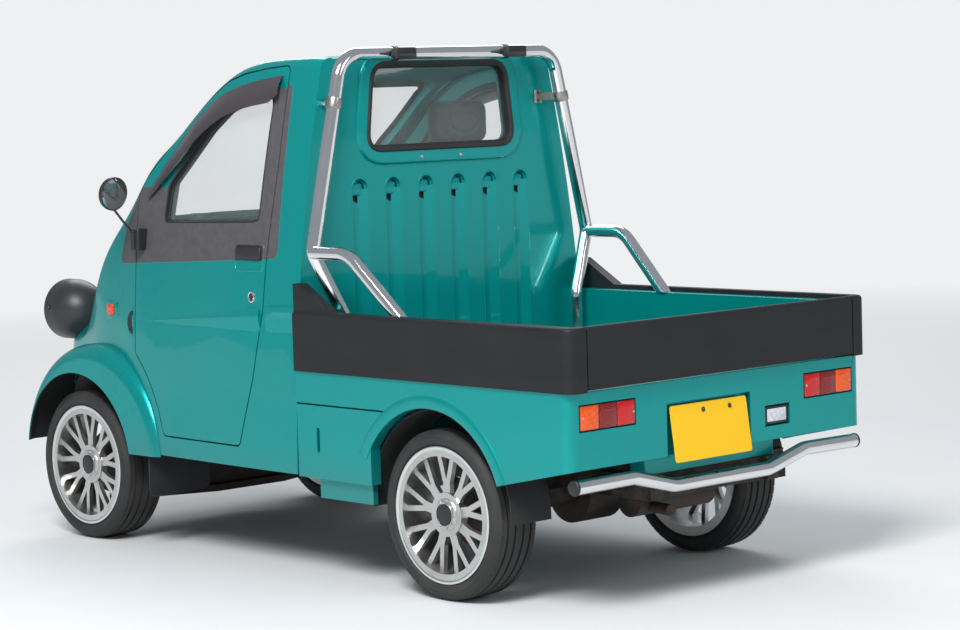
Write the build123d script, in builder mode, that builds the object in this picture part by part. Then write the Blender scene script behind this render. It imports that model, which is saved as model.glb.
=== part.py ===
from build123d import *
import os
from math import atan2, cos, hypot, radians, sin, sqrt, tan

os.makedirs("parts", exist_ok=True)

# Small two-seat utility truck, in millimetres. +X points to the nose, +Y to the left side and
# +Z up from the ground. The origin is on the ground under the middle of the whole length.

# Main sizes
overall_length = 2790
overall_height = 1650
wheelbase = 1840
rear_overhang = 600
rear_axle_x = rear_overhang - overall_length / 2
front_axle_x = rear_axle_x + wheelbase
panel_gap = 5
seat_gap = 0.3
reach = 800

# Wheels
tyre_radius = 256.5
tyre_width = 165
wheel_y = 530
rim_radius = 205
rim_lip = 8
rim_well_radius = 176
disc_out = 44
disc_thickness = 16
hub_radius = 66
hub_length = 26
spoke_pairs = 9
spoke_stem_width = 30
spoke_arm_width = 17
spoke_fork_radius = 98
spoke_spread = 9.5

# Cab
cab_rear_x = -170
sill_z = 330
floor_z = 412
underside_z = 380
cab_wall = 40
side_radius = 6000
corner_sagitta = 15
tunnel_half_width = 290
section_skirt = 80

# Cab cross-sections, from the rear wall forward:
# distance ahead of the rear wall, half width at the sill, half width and height where the
# side ends, half width and height where the roof begins, height on the centreline
cab_sections = (
    (0, 642, 492, 1589, 440, 1616, 1632),
    (130, 642, 498, 1594, 447, 1619, 1635),
    (255, 641, 503, 1590, 453, 1615, 1631),
    (375, 639, 507, 1570, 458, 1597, 1616),
    (475, 636, 510, 1528, 462, 1562, 1590),
    (575, 633, 514, 1465, 468, 1503, 1542),
    (775, 622, 530, 1315, 478, 1355, 1405),
    (935, 608, 545, 1165, 487, 1208, 1268),
    (1047, 590, 544, 1052, 484, 1098, 1168),
    (1160, 566, 540, 935, 474, 988, 1075),
    (1225, 549, 533, 825, 465, 890, 1010),
    (1340, 515, 508, 680, 436, 755, 905),
    (1475, 436, 428, 560, 360, 630, 770),
)
cab_length = cab_sections[-1][0]

# Doors, seen from the side: distance ahead of the cab's rear wall, height
door_corner = 22
door_rear_edge = ((292, 393), (220, 610), (175, 832), (168, 992), (142, 1290), (138, 1604))
door_top_edge = (
    (247, 1597), (361, 1583), (454, 1560), (555, 1505), (709, 1394), (819, 1300), (889, 1236), (918, 1192),
)
door_front = 921
door_front_z = 660
door_bottom_z = 393
door_arch_radius = 505
door_cut_y = 455
door_skin = 14
door_flange = 16
window_edge = (
    (220, 1112), (757, 1100), (743, 1225), (553, 1396), (461, 1455), (323, 1500), (212, 1508),
    (200, 1481),
)
window_corner = 14
glass_depth = 18
glass_thickness = 5
hinge_x = cab_rear_x + 926
hinge_low = (628, 400)
hinge_high = (575, 1130)
mirror_x = cab_rear_x + 865
mirror_y = 690
mirror_z = 1200
mirror_radius = 56
mirror_foot_z = 1042
mirror_foot_y = 594
mirror_foot_length = 50
mirror_foot_width = 80
mirror_stalk_inset = 20
mirror_foot_height = 76
mirror_stalk_radius = 6

# Windows at the back and front: half width and height at the bottom, then at the top, corner
rear_window = (314, 1330, 284, 1594, 45)
windscreen = (466, 1082, 414, 1545, 45)
screen_cut_x = 330

# Pressed channels in the cab's rear wall
channel_pitch = 140
channel_width = 66
channel_top_z = 1238
channel_low_z = 640
channel_depth = 9
pocket_depth = 20
pocket_height = 78

# Front lid
lid_back_x = 985
lid_front_x = 1195
lid_half_width = 262
lid_corner = 40
lid_low_z = 700
lid_thickness = 22
lid_hinge_x = 985
lid_hinge_z = 1084
lid_hinge_y = 150
lid_hinge_length = 26
lid_hinge_radius = 6
lid_hinge_foot = 32

# Fenders and front wheel houses
fender_centre_back = 75
fender_radius = 415
fender_thickness = 9
fender_shoulder = 55
fender_inner_y = 432
fender_low_z = 322
fender_y = 640
arch_radius = 314
arch_centre_z = 264
house_radius = 330
house_wall = 12
house_y = 311

# Front bumper and lamps
bumper_half_width = 424
bumper_face_x = 1395
bumper_end_x = 1377
bumper_low_z = 352
bumper_high_z = 505
lamp_y = 450
lamp_z = 775
lamp_radius = 106
lamp_back_x = 1180
lamp_front_x = 1337
lens_depth = 20

# Engine, under the seats
engine_x = 235
engine_length = 410
engine_half_width = 195
engine_low_z = 235
engine_top_z = 590
hump_room = 18
hump_wall = 14
hump_half_width = 236
hump_top_z = 624

# Seats
seat_y = 205
seat_half_width = 190
seat_corner = 40
seat_back_x = 40
seat_front_x = 430
seat_top_z = 735
backrest_thickness = 110
backrest_foot = 40
backrest_top_z = 1290
small_backrest_top_z = 1180
backrest_lean = 9
headrest_z = 1402
headrest_height = 165
headrest_width = 260
headrest_thickness = 95
headrest_corner = 38
headrest_post_y = 50
headrest_post_radius = 6

# Dashboard and steering
dash_back_x = 735
dash_front_x = 1060
dash_half_width = 430
dash_low_z = 925
dash_top_z = 1012
dash_corner = 30
column_y = -205
wheel_centre_x = 545
wheel_centre_z = 1000
column_slope = 38
column_length = 310
column_start = 60
column_bracket_drop = 200
column_bracket_forward = 50
column_bracket_length = 60
column_bracket_width = 36
column_radius = 24
shaft_radius = 9
shaft_room = 0.05
steering_radius = 178
steering_rim_radius = 14
steering_spoke_width = 26
steering_spoke_depth = 12
horn_radius = 38
horn_depth = 28
horn_rise = 8

# Bed
bed_rear_x = -1373
bed_half_width = 640
bed_side = 38
bed_corner = 38
bed_floor_z = 615
bed_floor_thickness = 25
bed_wall_y = 602
bed_wall = 40
bed_wall_top_z = 826
side_top_z = 655
side_rear_z = 435
side_arch_z = 370
side_front_z = 325
rear_arch_x = 12
cover_seam_z = 557
cover_rear_x = -598
cover_slant = (36, 24)
cover_low_x = -522
slot_x = -275
slot_low_z = 406
slot_high_z = 484
slot_width = 14
skirt_rear_x = -505
skirt_front_x = -255
skirt_low_z = 262
flange_depth = 12
flange_height = 40
cladding_y = 647
cladding_rear_x = -1395
cladding_top_z = 840
cladding_round = 12
tailgate_half_width = 580
tailgate_thickness = 30
tailgate_low_z = 662
tailgate_pin_x = -1387
tailgate_pin_z = 670
tailgate_pin_radius = 5
gusset_rise = 86
gusset_length = 178
gusset_tip = 28

# Rear panel and its lamps: y from, y to, z from, z to
rear_panel_thickness = 40
lamp_pocket = (366, 595, 543, 620)
reverse_pocket = (-300, -188, 476, 539)
plate_pocket = (-122, 238, 411, 589)
pocket_step = 22
lamp_room = 4
plate_width = 330
plate_height = 165
plate_y = 58
plate_low_z = 416
plate_thickness = 2
plate_tilt = 8
clip_size = 18
clip_y = 105

# Tubes
hoop_x = -228
hoop_radius = 21.35
hoop_top_half = 458
hoop_shoulder = (527, 1334)
hoop_elbow = (598, 1020)
hoop_foot = (505, 812)
hoop_foot_back = 35
side_hoop_level_x = -400
side_hoop_end_x = -628
side_hoop_end_y = 570
bracket_z = 1478
bracket_radius = 10
hoop_lamp_y = 240
side_hoop_bend_radius = 110
hoop_lamp_depth = 44
hoop_lamp_width = 90
hoop_lamp_corner = 8
bumper_tube_radius = 21.5
bumper_tube_x = -1363
bumper_tube_bends = ((614, 388), (374, 390), (208, 348))
bumper_tube_bend_radius = 90

# Chassis
rail_y = 255
rail_width = 50
rail_low_z = 308
rail_rear_x = -1341
rail_front_x = 1300
cross_members = (-1290, -1000, -560, -235, 640, 1260)
axle_radius = 32
differential_radius = 92
differential_width = 150
drum_radius = 105
drum_width = 22
drum_inboard = 40
upright_radius = 34
upright_length = 60
upright_inboard = 86
drum_y = 470
spring_y = 385
spring_length = 860
spring_width = 50
spring_thickness = 24
spring_drop = 60
arm_z = 172
arm_thickness = 24
arm_cup_depth = 40
ball_radius = 12
kingpin_low = (485, 165)
kingpin_high = (375, 600)
strut_radius = 22
strut_length = 412
stub_radius = 13
stub_inboard = 30
steering_limit = 33
muffler_x = -1180
muffler_z = 284
muffler_radius = 48
muffler_from_y = -120
muffler_to_y = 205
pipe_radius = 17
pipe_length = 130
pipe_inboard = 60
pipe_drop = 20
hanger_width = 36
hanger_thickness = 10
mount_arm_z = 335
mount_arm_size = 34
flap_x = 640
flap_y = 503
flap_z = 256
flap_width = 250
flap_height = 148
flap_thickness = 4
flap_corner = 24


def save(piece, name):
    """Label a finished piece and write it."""
    piece.label = name
    export_step(piece, f"parts/{name}.step")


def cab_section(row, inset, shift):
    """One closed cross-section of the cab, drawn smaller by the inset and carried on below the sill."""
    dx, sill, eave_y, eave_z, crown_y, crown_z, top_z = row
    low_left = (sill - inset, sill_z)
    eave_left = (eave_y - inset, eave_z - inset / 2)
    crown_left = (crown_y - inset / 2, crown_z - inset)
    low_right = (-low_left[0], low_left[1])
    eave_right = (-eave_left[0], eave_left[1])
    crown_right = (-crown_left[0], crown_left[1])
    rise = hypot(low_left[0] - eave_left[0], low_left[1] - eave_left[1])
    bulge = rise**2 / (8 * side_radius)
    with BuildSketch(Plane.YZ.offset(cab_rear_x + dx + shift)) as section:
        with BuildLine():
            Polyline(
                low_right,
                (low_right[0], sill_z - section_skirt),
                (low_left[0], sill_z - section_skirt),
                low_left,
            )
            SagittaArc(low_left, eave_left, -bulge)
            SagittaArc(eave_left, crown_left, -corner_sagitta)
            ThreePointArc(crown_left, (0, top_z - inset), crown_right)
            SagittaArc(crown_right, eave_right, -corner_sagitta)
            SagittaArc(eave_right, low_right, -bulge)
        make_face()
    return section.sketch


def cab_layer(inset, low_z):
    """The cab's outside down to a height, or a smaller copy that lies the inset inside it."""
    last = len(cab_sections) - 1
    shifts = {0: inset, last: -inset}
    with BuildPart() as layer:
        loft(sections=[cab_section(row, inset, shifts.get(n, 0)) for n, row in enumerate(cab_sections)])
        split(bisect_by=Plane.XY.offset(low_z), keep=Keep.TOP)
    return layer.part


def side_view(points, corner, inset=0):
    """A flat outline seen from the left side, with rounded corners, drawn smaller by the inset."""
    with BuildSketch(Plane.XZ.offset(-reach)) as outline:
        with BuildLine():
            Polyline(*points, close=True)
        make_face()
        fillet(outline.vertices(), corner)
        if inset:
            offset(amount=-inset, mode=Mode.REPLACE)
    return outline.sketch


def rear_view(window, inset=0):
    """A window outline seen from behind, wider at the bottom."""
    half_low, low_z, half_high, high_z, corner = window
    with BuildSketch(Plane.YZ.offset(cab_rear_x - cab_wall)) as outline:
        with BuildLine():
            Polyline(
                (-half_low, low_z), (half_low, low_z), (half_high, high_z), (-half_high, high_z),
                close=True,
            )
        make_face()
        fillet(outline.vertices(), corner)
        if inset:
            offset(amount=-inset, mode=Mode.REPLACE)
    return outline.sketch


def door_outline(inset):
    """The door seen from the left side, drawn smaller by the inset."""
    arch_points = []
    for z in (door_front_z, (door_front_z + door_bottom_z) / 2, door_bottom_z):
        across = sqrt(door_arch_radius**2 - (z - arch_centre_z) ** 2)
        arch_points.append((front_axle_x - across, z))
    points = [(cab_rear_x + x, z) for x, z in door_rear_edge + door_top_edge]
    with BuildSketch(Plane.XZ.offset(-reach)) as outline:
        with BuildLine():
            Polyline(*points, (cab_rear_x + door_front, points[-1][1] - 2 * door_corner), arch_points[0])
            ThreePointArc(*arch_points)
            Line(arch_points[2], points[0])
        make_face()
        if inset:
            offset(amount=-inset, kind=Kind.INTERSECTION, mode=Mode.REPLACE)
        fillet(outline.vertices(), door_corner - inset if inset < door_flange else door_corner)
    return outline.sketch


def window_outline(inset):
    """The door window seen from the left side."""
    return side_view([(cab_rear_x + x, z) for x, z in window_edge], window_corner, inset)


def tube_along(points, bend, radius):
    """A round tube that follows straight runs joined by arcs."""
    with BuildPart() as tube:
        with BuildLine() as path:
            FilletPolyline(*points, radius=bend)
        with BuildSketch(Plane(origin=path.line @ 0, z_dir=path.line % 0)):
            Circle(radius)
        sweep()
    return tube.part


def both_sides(points):
    """Points given for the left side, followed back down the right side."""
    return [*points, *[(x, -y, z) for x, y, z in reversed(points)]]


# The cab's outside and the smaller copies that lie inside it
cab_outside = cab_layer(0, sill_z)
cab_mid = cab_layer(door_skin, sill_z + door_skin)
cab_inside = cab_layer(cab_wall, floor_z)
glass_outside = cab_layer(glass_depth, sill_z + glass_depth)
glass_inside = cab_layer(glass_depth + glass_thickness, sill_z + glass_depth + glass_thickness)
lid_inside = cab_layer(lid_thickness, sill_z + lid_thickness)
cab_clear = cab_layer(-seat_gap, sill_z - cab_wall)
cab_room = cab_layer(cab_wall + seat_gap, floor_z + seat_gap)

# Wheel houses over the front wheels
with BuildPart() as wheel_space:
    with BuildSketch(Plane.XZ.offset(-reach)):
        with Locations((front_axle_x, arch_centre_z)):
            Circle(house_radius)
    extrude(amount=reach - house_y)
    mirror(about=Plane.XZ)
with BuildPart() as wheel_houses:
    with BuildSketch(Plane.XZ.offset(-reach)):
        with Locations((front_axle_x, arch_centre_z)):
            Circle(house_radius + house_wall)
    extrude(amount=reach - house_y + house_wall)
    mirror(about=Plane.XZ)
    add(cab_outside, mode=Mode.INTERSECT)

# Cab shell: roof, pillars, sills, floor, rear wall and nose in one welded body
with BuildPart() as cab_shell:
    add(cab_outside)
    add(cab_inside, mode=Mode.SUBTRACT)
    add(wheel_houses.part)
    add(wheel_space.part, mode=Mode.SUBTRACT)
    with BuildSketch(Plane.XY.offset(sill_z - cab_wall)):
        with Locations((cab_rear_x + cab_length / 2, 0)):
            Rectangle(2 * cab_length, 2 * tunnel_half_width)
    extrude(amount=underside_z - sill_z + cab_wall, mode=Mode.SUBTRACT)
    with BuildSketch(Plane.XY.offset(underside_z)):
        with Locations((engine_x, 0)):
            Rectangle(engine_length + 2 * (hump_room + hump_wall), 2 * hump_half_width)
    extrude(amount=hump_top_z - underside_z)
    with BuildSketch(Plane.XY.offset(sill_z)):
        with Locations((engine_x, 0)):
            Rectangle(engine_length + 2 * hump_room, 2 * (hump_half_width - hump_wall))
    extrude(amount=hump_top_z - hump_wall - sill_z, mode=Mode.SUBTRACT)
    for depth, low_z in ((channel_depth, channel_low_z), (pocket_depth, channel_top_z - pocket_height)):
        with BuildSketch(Plane.YZ.offset(cab_rear_x - cab_wall)):
            with Locations(*[(channel_pitch * (n - 2.5), (channel_top_z + low_z) / 2) for n in range(6)]):
                SlotOverall(channel_top_z - low_z, channel_width, rotation=90)
        extrude(amount=cab_wall + depth, mode=Mode.SUBTRACT)
    extrude(rear_view(rear_window), amount=3 * cab_wall, mode=Mode.SUBTRACT)
    extrude(
        rear_view(windscreen).moved(Location((screen_cut_x - cab_rear_x, 0, 0))),
        amount=cab_length, mode=Mode.SUBTRACT,
    )
    for flip in (False, True):
        outline = door_outline(0)
        if flip:
            outline = mirror(outline, about=Plane.XZ, mode=Mode.PRIVATE)
        extrude(outline, amount=reach - door_cut_y, dir=(0, 1 if flip else -1, 0), mode=Mode.SUBTRACT)
    with BuildSketch(Plane.XY.offset(lid_low_z)):
        with Locations(((lid_back_x + lid_front_x) / 2, 0)):
            RectangleRounded(lid_front_x - lid_back_x, 2 * lid_half_width, lid_corner)
    extrude(amount=overall_height, mode=Mode.SUBTRACT)
    for side in (1, -1):
        knuckle_y = side * (lid_hinge_y + lid_hinge_length / 2 + seat_gap) + lid_hinge_length / 2
        with BuildSketch(Plane.XZ.offset(-knuckle_y)):
            with Locations((lid_hinge_x, lid_hinge_z)):
                Circle(lid_hinge_radius)
            with Locations((lid_hinge_x - lid_hinge_radius, lid_hinge_z - lid_hinge_foot / 2)):
                Rectangle(2 * lid_hinge_radius, lid_hinge_foot)
        extrude(amount=lid_hinge_length)
save(cab_shell.part, "cab_shell")

# Fixed windows
with BuildPart() as windscreen_glass:
    extrude(
        rear_view(windscreen, seat_gap).moved(Location((screen_cut_x - cab_rear_x, 0, 0))),
        amount=cab_length,
    )
    add(glass_outside, mode=Mode.INTERSECT)
    add(glass_inside, mode=Mode.SUBTRACT)
save(windscreen_glass.part, "windscreen")

with BuildPart() as rear_glass:
    extrude(
        rear_view(rear_window, seat_gap).moved(Location((cab_wall + glass_depth, 0, 0))),
        amount=glass_thickness,
    )
save(rear_glass.part, "rear_window")

# Front lid, with its hinge at the edge below the windscreen
with BuildPart() as front_lid:
    with BuildSketch(Plane.XY.offset(lid_low_z)):
        with Locations(((lid_back_x + lid_front_x) / 2, 0)):
            RectangleRounded(
                lid_front_x - lid_back_x - 2 * panel_gap, 2 * (lid_half_width - panel_gap),
                lid_corner - panel_gap,
            )
    extrude(amount=overall_height)
    add(cab_outside, mode=Mode.INTERSECT)
    add(lid_inside, mode=Mode.SUBTRACT)
    for side in (1, -1):
        knuckle_y = side * (lid_hinge_y - lid_hinge_length / 2) + lid_hinge_length / 2
        with BuildSketch(Plane.XZ.offset(-knuckle_y)):
            with Locations((lid_hinge_x, lid_hinge_z)):
                Circle(lid_hinge_radius)
            with Locations((lid_hinge_x + 1.5 * lid_hinge_radius, lid_hinge_z - lid_hinge_foot / 2)):
                Rectangle(3 * lid_hinge_radius, lid_hinge_foot)
        extrude(amount=lid_hinge_length)
save(front_lid.part, "front_lid")

# Doors: an outer skin and a smaller inner frame, with the window cut through both
with BuildPart() as door_skin_layer:
    extrude(door_outline(panel_gap), amount=reach - door_cut_y)
    add(cab_outside, mode=Mode.INTERSECT)
    add(cab_mid, mode=Mode.SUBTRACT)
with BuildPart() as door:
    extrude(door_outline(panel_gap + door_flange), amount=reach - door_cut_y)
    add(cab_outside, mode=Mode.INTERSECT)
    add(cab_inside, mode=Mode.SUBTRACT)
    add(door_skin_layer.part)
    extrude(window_outline(0), amount=reach, mode=Mode.SUBTRACT)
with BuildPart() as door_glass_left:
    extrude(window_outline(seat_gap), amount=reach)
    add(glass_outside, mode=Mode.INTERSECT)
    add(glass_inside, mode=Mode.SUBTRACT)
with BuildPart() as mirror_left:
    with BuildSketch(Plane.YZ.offset(mirror_x - mirror_radius / 4)):
        with Locations((mirror_y, mirror_z)):
            Circle(mirror_radius)
    extrude(amount=mirror_radius / 2)
    fillet(mirror_left.edges().group_by(Axis.X)[-1], mirror_radius / 3)
    with BuildSketch(Plane.XY.offset(mirror_foot_z - mirror_foot_height / 2)):
        with Locations((mirror_x + mirror_foot_length / 2 - 4, mirror_foot_y - mirror_foot_width / 2)):
            RectangleRounded(mirror_foot_length, mirror_foot_width, 10)
    extrude(amount=mirror_foot_height)
    stalk_out = mirror_y - mirror_foot_y + mirror_stalk_inset
    stalk_up = mirror_z - mirror_foot_z - mirror_stalk_inset
    stalk_foot = (mirror_x + 6, mirror_foot_y - mirror_stalk_inset, mirror_foot_z + mirror_stalk_inset)
    stalk = Plane(origin=stalk_foot, z_dir=(0, stalk_out, stalk_up))
    add(Solid.make_cylinder(mirror_stalk_radius, hypot(stalk_out, stalk_up), stalk))
    add(cab_clear, mode=Mode.SUBTRACT)
# the trimmed inner frame leaves an offcut at the windscreen pillar, so only the door itself is kept
door_left = door.solids().sort_by(SortBy.VOLUME)[-1]
for side in ("left", "right"):
    for piece, name in (
        (door_left, "door"), (door_glass_left.part, "door_glass"), (mirror_left.part, "mirror"),
    ):
        with BuildPart() as sided:
            if side == "left":
                add(piece)
            else:
                mirror(piece, about=Plane.XZ, mode=Mode.ADD)
        save(sided.part, f"{name}_{side}")

# Front fenders: a domed skin around a centre a little behind the wheel's
fender_x = front_axle_x - fender_centre_back
with BuildPart() as front_fenders:
    with BuildSketch(Plane.XY.offset(arch_centre_z)):
        with BuildLine():
            outer = fender_radius
            inner = fender_radius - fender_thickness
            shoulder_r = fender_radius - fender_shoulder
            shoulder_y = fender_y - fender_shoulder
            bend = fender_shoulder * (1 - cos(radians(45)))
            bend_in = (fender_shoulder - fender_thickness) * cos(radians(45))
            Polyline(
                (fender_x + outer, shoulder_y), (fender_x + outer, fender_inner_y),
                (fender_x + inner, fender_inner_y), (fender_x + inner, shoulder_y),
            )
            ThreePointArc(
                (fender_x + inner, shoulder_y),
                (fender_x + shoulder_r + bend_in, shoulder_y + bend_in),
                (fender_x + shoulder_r, fender_y - fender_thickness),
            )
            Polyline(
                (fender_x + shoulder_r, fender_y - fender_thickness),
                (fender_x, fender_y - fender_thickness),
                (fender_x, fender_y),
                (fender_x + shoulder_r, fender_y),
            )
            ThreePointArc(
                (fender_x + shoulder_r, fender_y),
                (fender_x + outer - bend, fender_y - bend),
                (fender_x + outer, shoulder_y),
            )
        make_face()
    revolve(axis=Axis((fender_x, 0, arch_centre_z), (0, 1, 0)))
    with BuildSketch(Plane.XZ.offset(-reach)):
        with Locations((front_axle_x, arch_centre_z)):
            Circle(arch_radius)
        with Locations((front_axle_x, fender_low_z - fender_radius)):
            Rectangle(4 * fender_radius, 2 * fender_radius)
    extrude(amount=reach, mode=Mode.SUBTRACT)
    add(cab_clear, mode=Mode.SUBTRACT)
    mirror(about=Plane.XZ)
save(front_fenders.part, "front_fenders")

# Front bumper, hollowed where the front wheels swing
with BuildPart() as front_bumper:
    with BuildSketch(Plane.XY.offset(bumper_low_z)):
        with BuildLine():
            Polyline(
                (bumper_end_x, bumper_half_width),
                (cab_rear_x + cab_length + seat_gap, bumper_half_width),
                (cab_rear_x + cab_length + seat_gap, -bumper_half_width),
                (bumper_end_x, -bumper_half_width),
            )
            ThreePointArc(
                (bumper_end_x, -bumper_half_width), (bumper_face_x, 0), (bumper_end_x, bumper_half_width)
            )
        make_face()
    extrude(amount=bumper_high_z - bumper_low_z)
    add(wheel_space.part, mode=Mode.SUBTRACT)
save(front_bumper.part, "front_bumper")

# Headlamps in round bowls on the nose
with BuildPart() as headlamp_bowls:
    with BuildSketch(Plane.XY.offset(lamp_z)):
        with BuildLine():
            rim_back_x = lamp_front_x - 2 * lens_depth
            Line((lamp_back_x, lamp_y), (lamp_front_x - lens_depth, lamp_y))
            Polyline(
                (lamp_front_x - lens_depth, lamp_y),
                (lamp_front_x - lens_depth, lamp_y + lamp_radius - 8),
                (lamp_front_x, lamp_y + lamp_radius - 8), (lamp_front_x, lamp_y + lamp_radius),
                (rim_back_x, lamp_y + lamp_radius),
            )
            ThreePointArc(
                (rim_back_x, lamp_y + lamp_radius),
                (lamp_back_x + 38, lamp_y + 0.72 * lamp_radius),
                (lamp_back_x, lamp_y),
            )
        make_face()
    revolve(axis=Axis((0, lamp_y, lamp_z), (1, 0, 0)))
    add(cab_clear, mode=Mode.SUBTRACT)
    mirror(about=Plane.XZ)
save(headlamp_bowls.part, "headlamp_bowls")
with BuildPart() as headlamp_lenses:
    with BuildSketch(Plane.YZ.offset(lamp_front_x - lens_depth)):
        with Locations((lamp_y, lamp_z), (-lamp_y, lamp_z)):
            Circle(lamp_radius - 8 - seat_gap)
    extrude(amount=lens_depth - 2)
save(headlamp_lenses.part, "headlamp_lenses")

# Bed floor and inner walls
bed_front_x = cab_rear_x - seat_gap
with BuildPart() as bed_tub:
    with BuildSketch(Plane.XY.offset(bed_floor_z - bed_floor_thickness)):
        with BuildLine():
            Polyline(
                (bed_front_x, -bed_wall_y), (bed_front_x, bed_wall_y),
                (bed_rear_x + rear_panel_thickness, bed_wall_y),
                (bed_rear_x + rear_panel_thickness, -bed_wall_y), close=True,
            )
        make_face()
    extrude(amount=bed_floor_thickness)
    with BuildSketch(Plane.XY.offset(bed_floor_z)):
        wall_x = (bed_front_x + bed_rear_x + rear_panel_thickness) / 2
        for side in (1, -1):
            with Locations((wall_x, side * (bed_wall_y - bed_wall / 2))):
                Rectangle(bed_front_x - bed_rear_x - rear_panel_thickness, bed_wall)
    extrude(amount=bed_wall_top_z - bed_floor_z)
    with BuildSketch(Plane.XY.offset(underside_z)):
        for x in cross_members[:4]:
            with Locations((x, 0)):
                Rectangle(60, 2 * rail_y + rail_width)
    extrude(amount=bed_floor_z - bed_floor_thickness - underside_z)
save(bed_tub.part, "bed_tub")

# Side panels, with the rear wheel arch cut, and the separate covers ahead of the arch
rear_arch_centre = rear_axle_x + rear_arch_x
side_front_x = cab_rear_x - panel_gap
with BuildPart() as arch_space:
    with BuildSketch(Plane.XZ.offset(-reach)):
        with Locations((rear_arch_centre, arch_centre_z)):
            Circle(arch_radius)
    extrude(amount=2 * reach)
with BuildPart() as side_panels:
    with BuildSketch(Plane.XZ.offset(-bed_half_width)):
        with BuildLine():
            Polyline(
                (side_front_x, cover_seam_z), (side_front_x, side_top_z), (bed_rear_x, side_top_z),
                (bed_rear_x, side_rear_z), (rear_arch_centre - arch_radius + 30, side_arch_z),
                (rear_arch_centre, side_arch_z), (rear_arch_centre, cover_seam_z - cover_slant[1]),
                (cover_rear_x - cover_slant[0] - 2, cover_seam_z - cover_slant[1]),
                (cover_rear_x - 2, cover_seam_z), close=True,
            )
        make_face()
    extrude(amount=bed_side)
    upright_edges = side_panels.edges().filter_by(Axis.Z)
    outer_edges = upright_edges.filter_by_position(Axis.Y, bed_half_width - 1, bed_half_width + 1)
    fillet(outer_edges.group_by(Axis.X)[0], bed_corner - seat_gap)
    add(arch_space.part, mode=Mode.SUBTRACT)
    mirror(about=Plane.XZ)
save(side_panels.part, "side_panels")
with BuildPart() as side_covers:
    with BuildSketch(Plane.XZ.offset(-bed_half_width)):
        with BuildLine():
            Polyline(
                (cover_low_x + 1, side_front_z), (cover_low_x + 1, cover_seam_z - panel_gap),
                (cover_rear_x, cover_seam_z - panel_gap),
                (cover_rear_x - cover_slant[0], cover_seam_z - panel_gap - cover_slant[1]),
                (cover_rear_x - cover_slant[0], side_front_z), close=True,
            )
        make_face()
        with Locations((rear_arch_centre, arch_centre_z)):
            Circle(arch_radius, mode=Mode.SUBTRACT)
        with BuildLine():
            Polyline(
                (side_front_x, side_front_z), (side_front_x, cover_seam_z - panel_gap),
                (cover_low_x, cover_seam_z - panel_gap), (cover_low_x, side_front_z), close=True,
            )
        make_face()
        with Locations((slot_x, (slot_low_z + slot_high_z) / 2)):
            SlotOverall(slot_high_z - slot_low_z, slot_width, rotation=90, mode=Mode.SUBTRACT)
    extrude(amount=bed_side)
    with BuildSketch(Plane.XZ.offset(-bed_half_width + bed_side / 2)):
        with Locations(((skirt_rear_x + skirt_front_x) / 2, (skirt_low_z + side_front_z) / 2)):
            Rectangle(skirt_front_x - skirt_rear_x, side_front_z - skirt_low_z)
    extrude(amount=bed_side / 2)
    for y_to, z_to in (
        (bed_wall_y - seat_gap, bed_floor_z - bed_floor_thickness - seat_gap),
        (bed_wall_y + 4, cover_seam_z - 12),
    ):
        with BuildSketch(Plane.XZ.offset(-y_to)):
            flange_z = (z_to + cover_seam_z - flange_height) / 2
            with Locations(((skirt_rear_x + skirt_front_x) / 2, flange_z)):
                Rectangle(skirt_front_x - skirt_rear_x, z_to - cover_seam_z + flange_height)
        extrude(amount=y_to - bed_wall_y + flange_depth)
    mirror(about=Plane.XZ)
save(side_covers.part, "side_covers")

# Number plate, leaning back at the top, with four clips that hold it on the rear panel
plate_plane = Plane(
    origin=(cladding_rear_x + plate_thickness + 2, plate_y, plate_low_z),
    x_dir=(0, 1, 0),
    z_dir=(cos(radians(plate_tilt)), 0, -sin(radians(plate_tilt))),
)

# Rear panel with pockets for the lamps and the number plate
with BuildPart() as rear_panel:
    with BuildSketch(Plane.YZ.offset(bed_rear_x)):
        with Locations((0, (side_rear_z + side_top_z) / 2)):
            Rectangle(2 * (bed_half_width - bed_corner), side_top_z - side_rear_z)
    extrude(amount=rear_panel_thickness)
    with BuildSketch(Plane.YZ.offset(bed_rear_x)):
        for y_from, y_to, z_from, z_to in (
            lamp_pocket,
            (-lamp_pocket[1], -lamp_pocket[0], *lamp_pocket[2:]),
            reverse_pocket,
            plate_pocket,
        ):
            with Locations(((y_from + y_to) / 2, (z_from + z_to) / 2)):
                Rectangle(y_to - y_from, z_to - z_from)
    extrude(amount=pocket_step, mode=Mode.SUBTRACT)
    for clip_z, clip_length in ((plate_height - clip_size, 24), (clip_size, 46)):
        with BuildSketch(plate_plane.offset(plate_thickness + seat_gap)):
            with Locations((-clip_y, clip_z), (clip_y, clip_z)):
                Rectangle(clip_size, clip_size)
        extrude(amount=clip_length)
save(rear_panel.part, "rear_panel")

with BuildPart() as tail_lamps:
    with BuildSketch(Plane.YZ.offset(bed_rear_x - lamp_room / 2)):
        y_from, y_to, z_from, z_to = lamp_pocket
        for side in (1, -1):
            with Locations((side * (y_from + y_to) / 2, (z_from + z_to) / 2)):
                Rectangle(y_to - y_from - 2 * lamp_room, z_to - z_from - 2 * lamp_room)
    extrude(amount=pocket_step + lamp_room / 2 - seat_gap)
save(tail_lamps.part, "tail_lamps")

with BuildPart() as reversing_lamp:
    with BuildSketch(Plane.YZ.offset(bed_rear_x + lamp_room)):
        y_from, y_to, z_from, z_to = reverse_pocket
        with Locations(((y_from + y_to) / 2, (z_from + z_to) / 2)):
            Rectangle(y_to - y_from - 2 * lamp_room, z_to - z_from - 2 * lamp_room)
    extrude(amount=pocket_step - lamp_room - seat_gap)
save(reversing_lamp.part, "reversing_lamp")

with BuildPart() as number_plate:
    with BuildSketch(plate_plane):
        with Locations((0, plate_height / 2)):
            RectangleRounded(plate_width, plate_height, 8)
    extrude(amount=plate_thickness)
save(number_plate.part, "number_plate")

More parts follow.
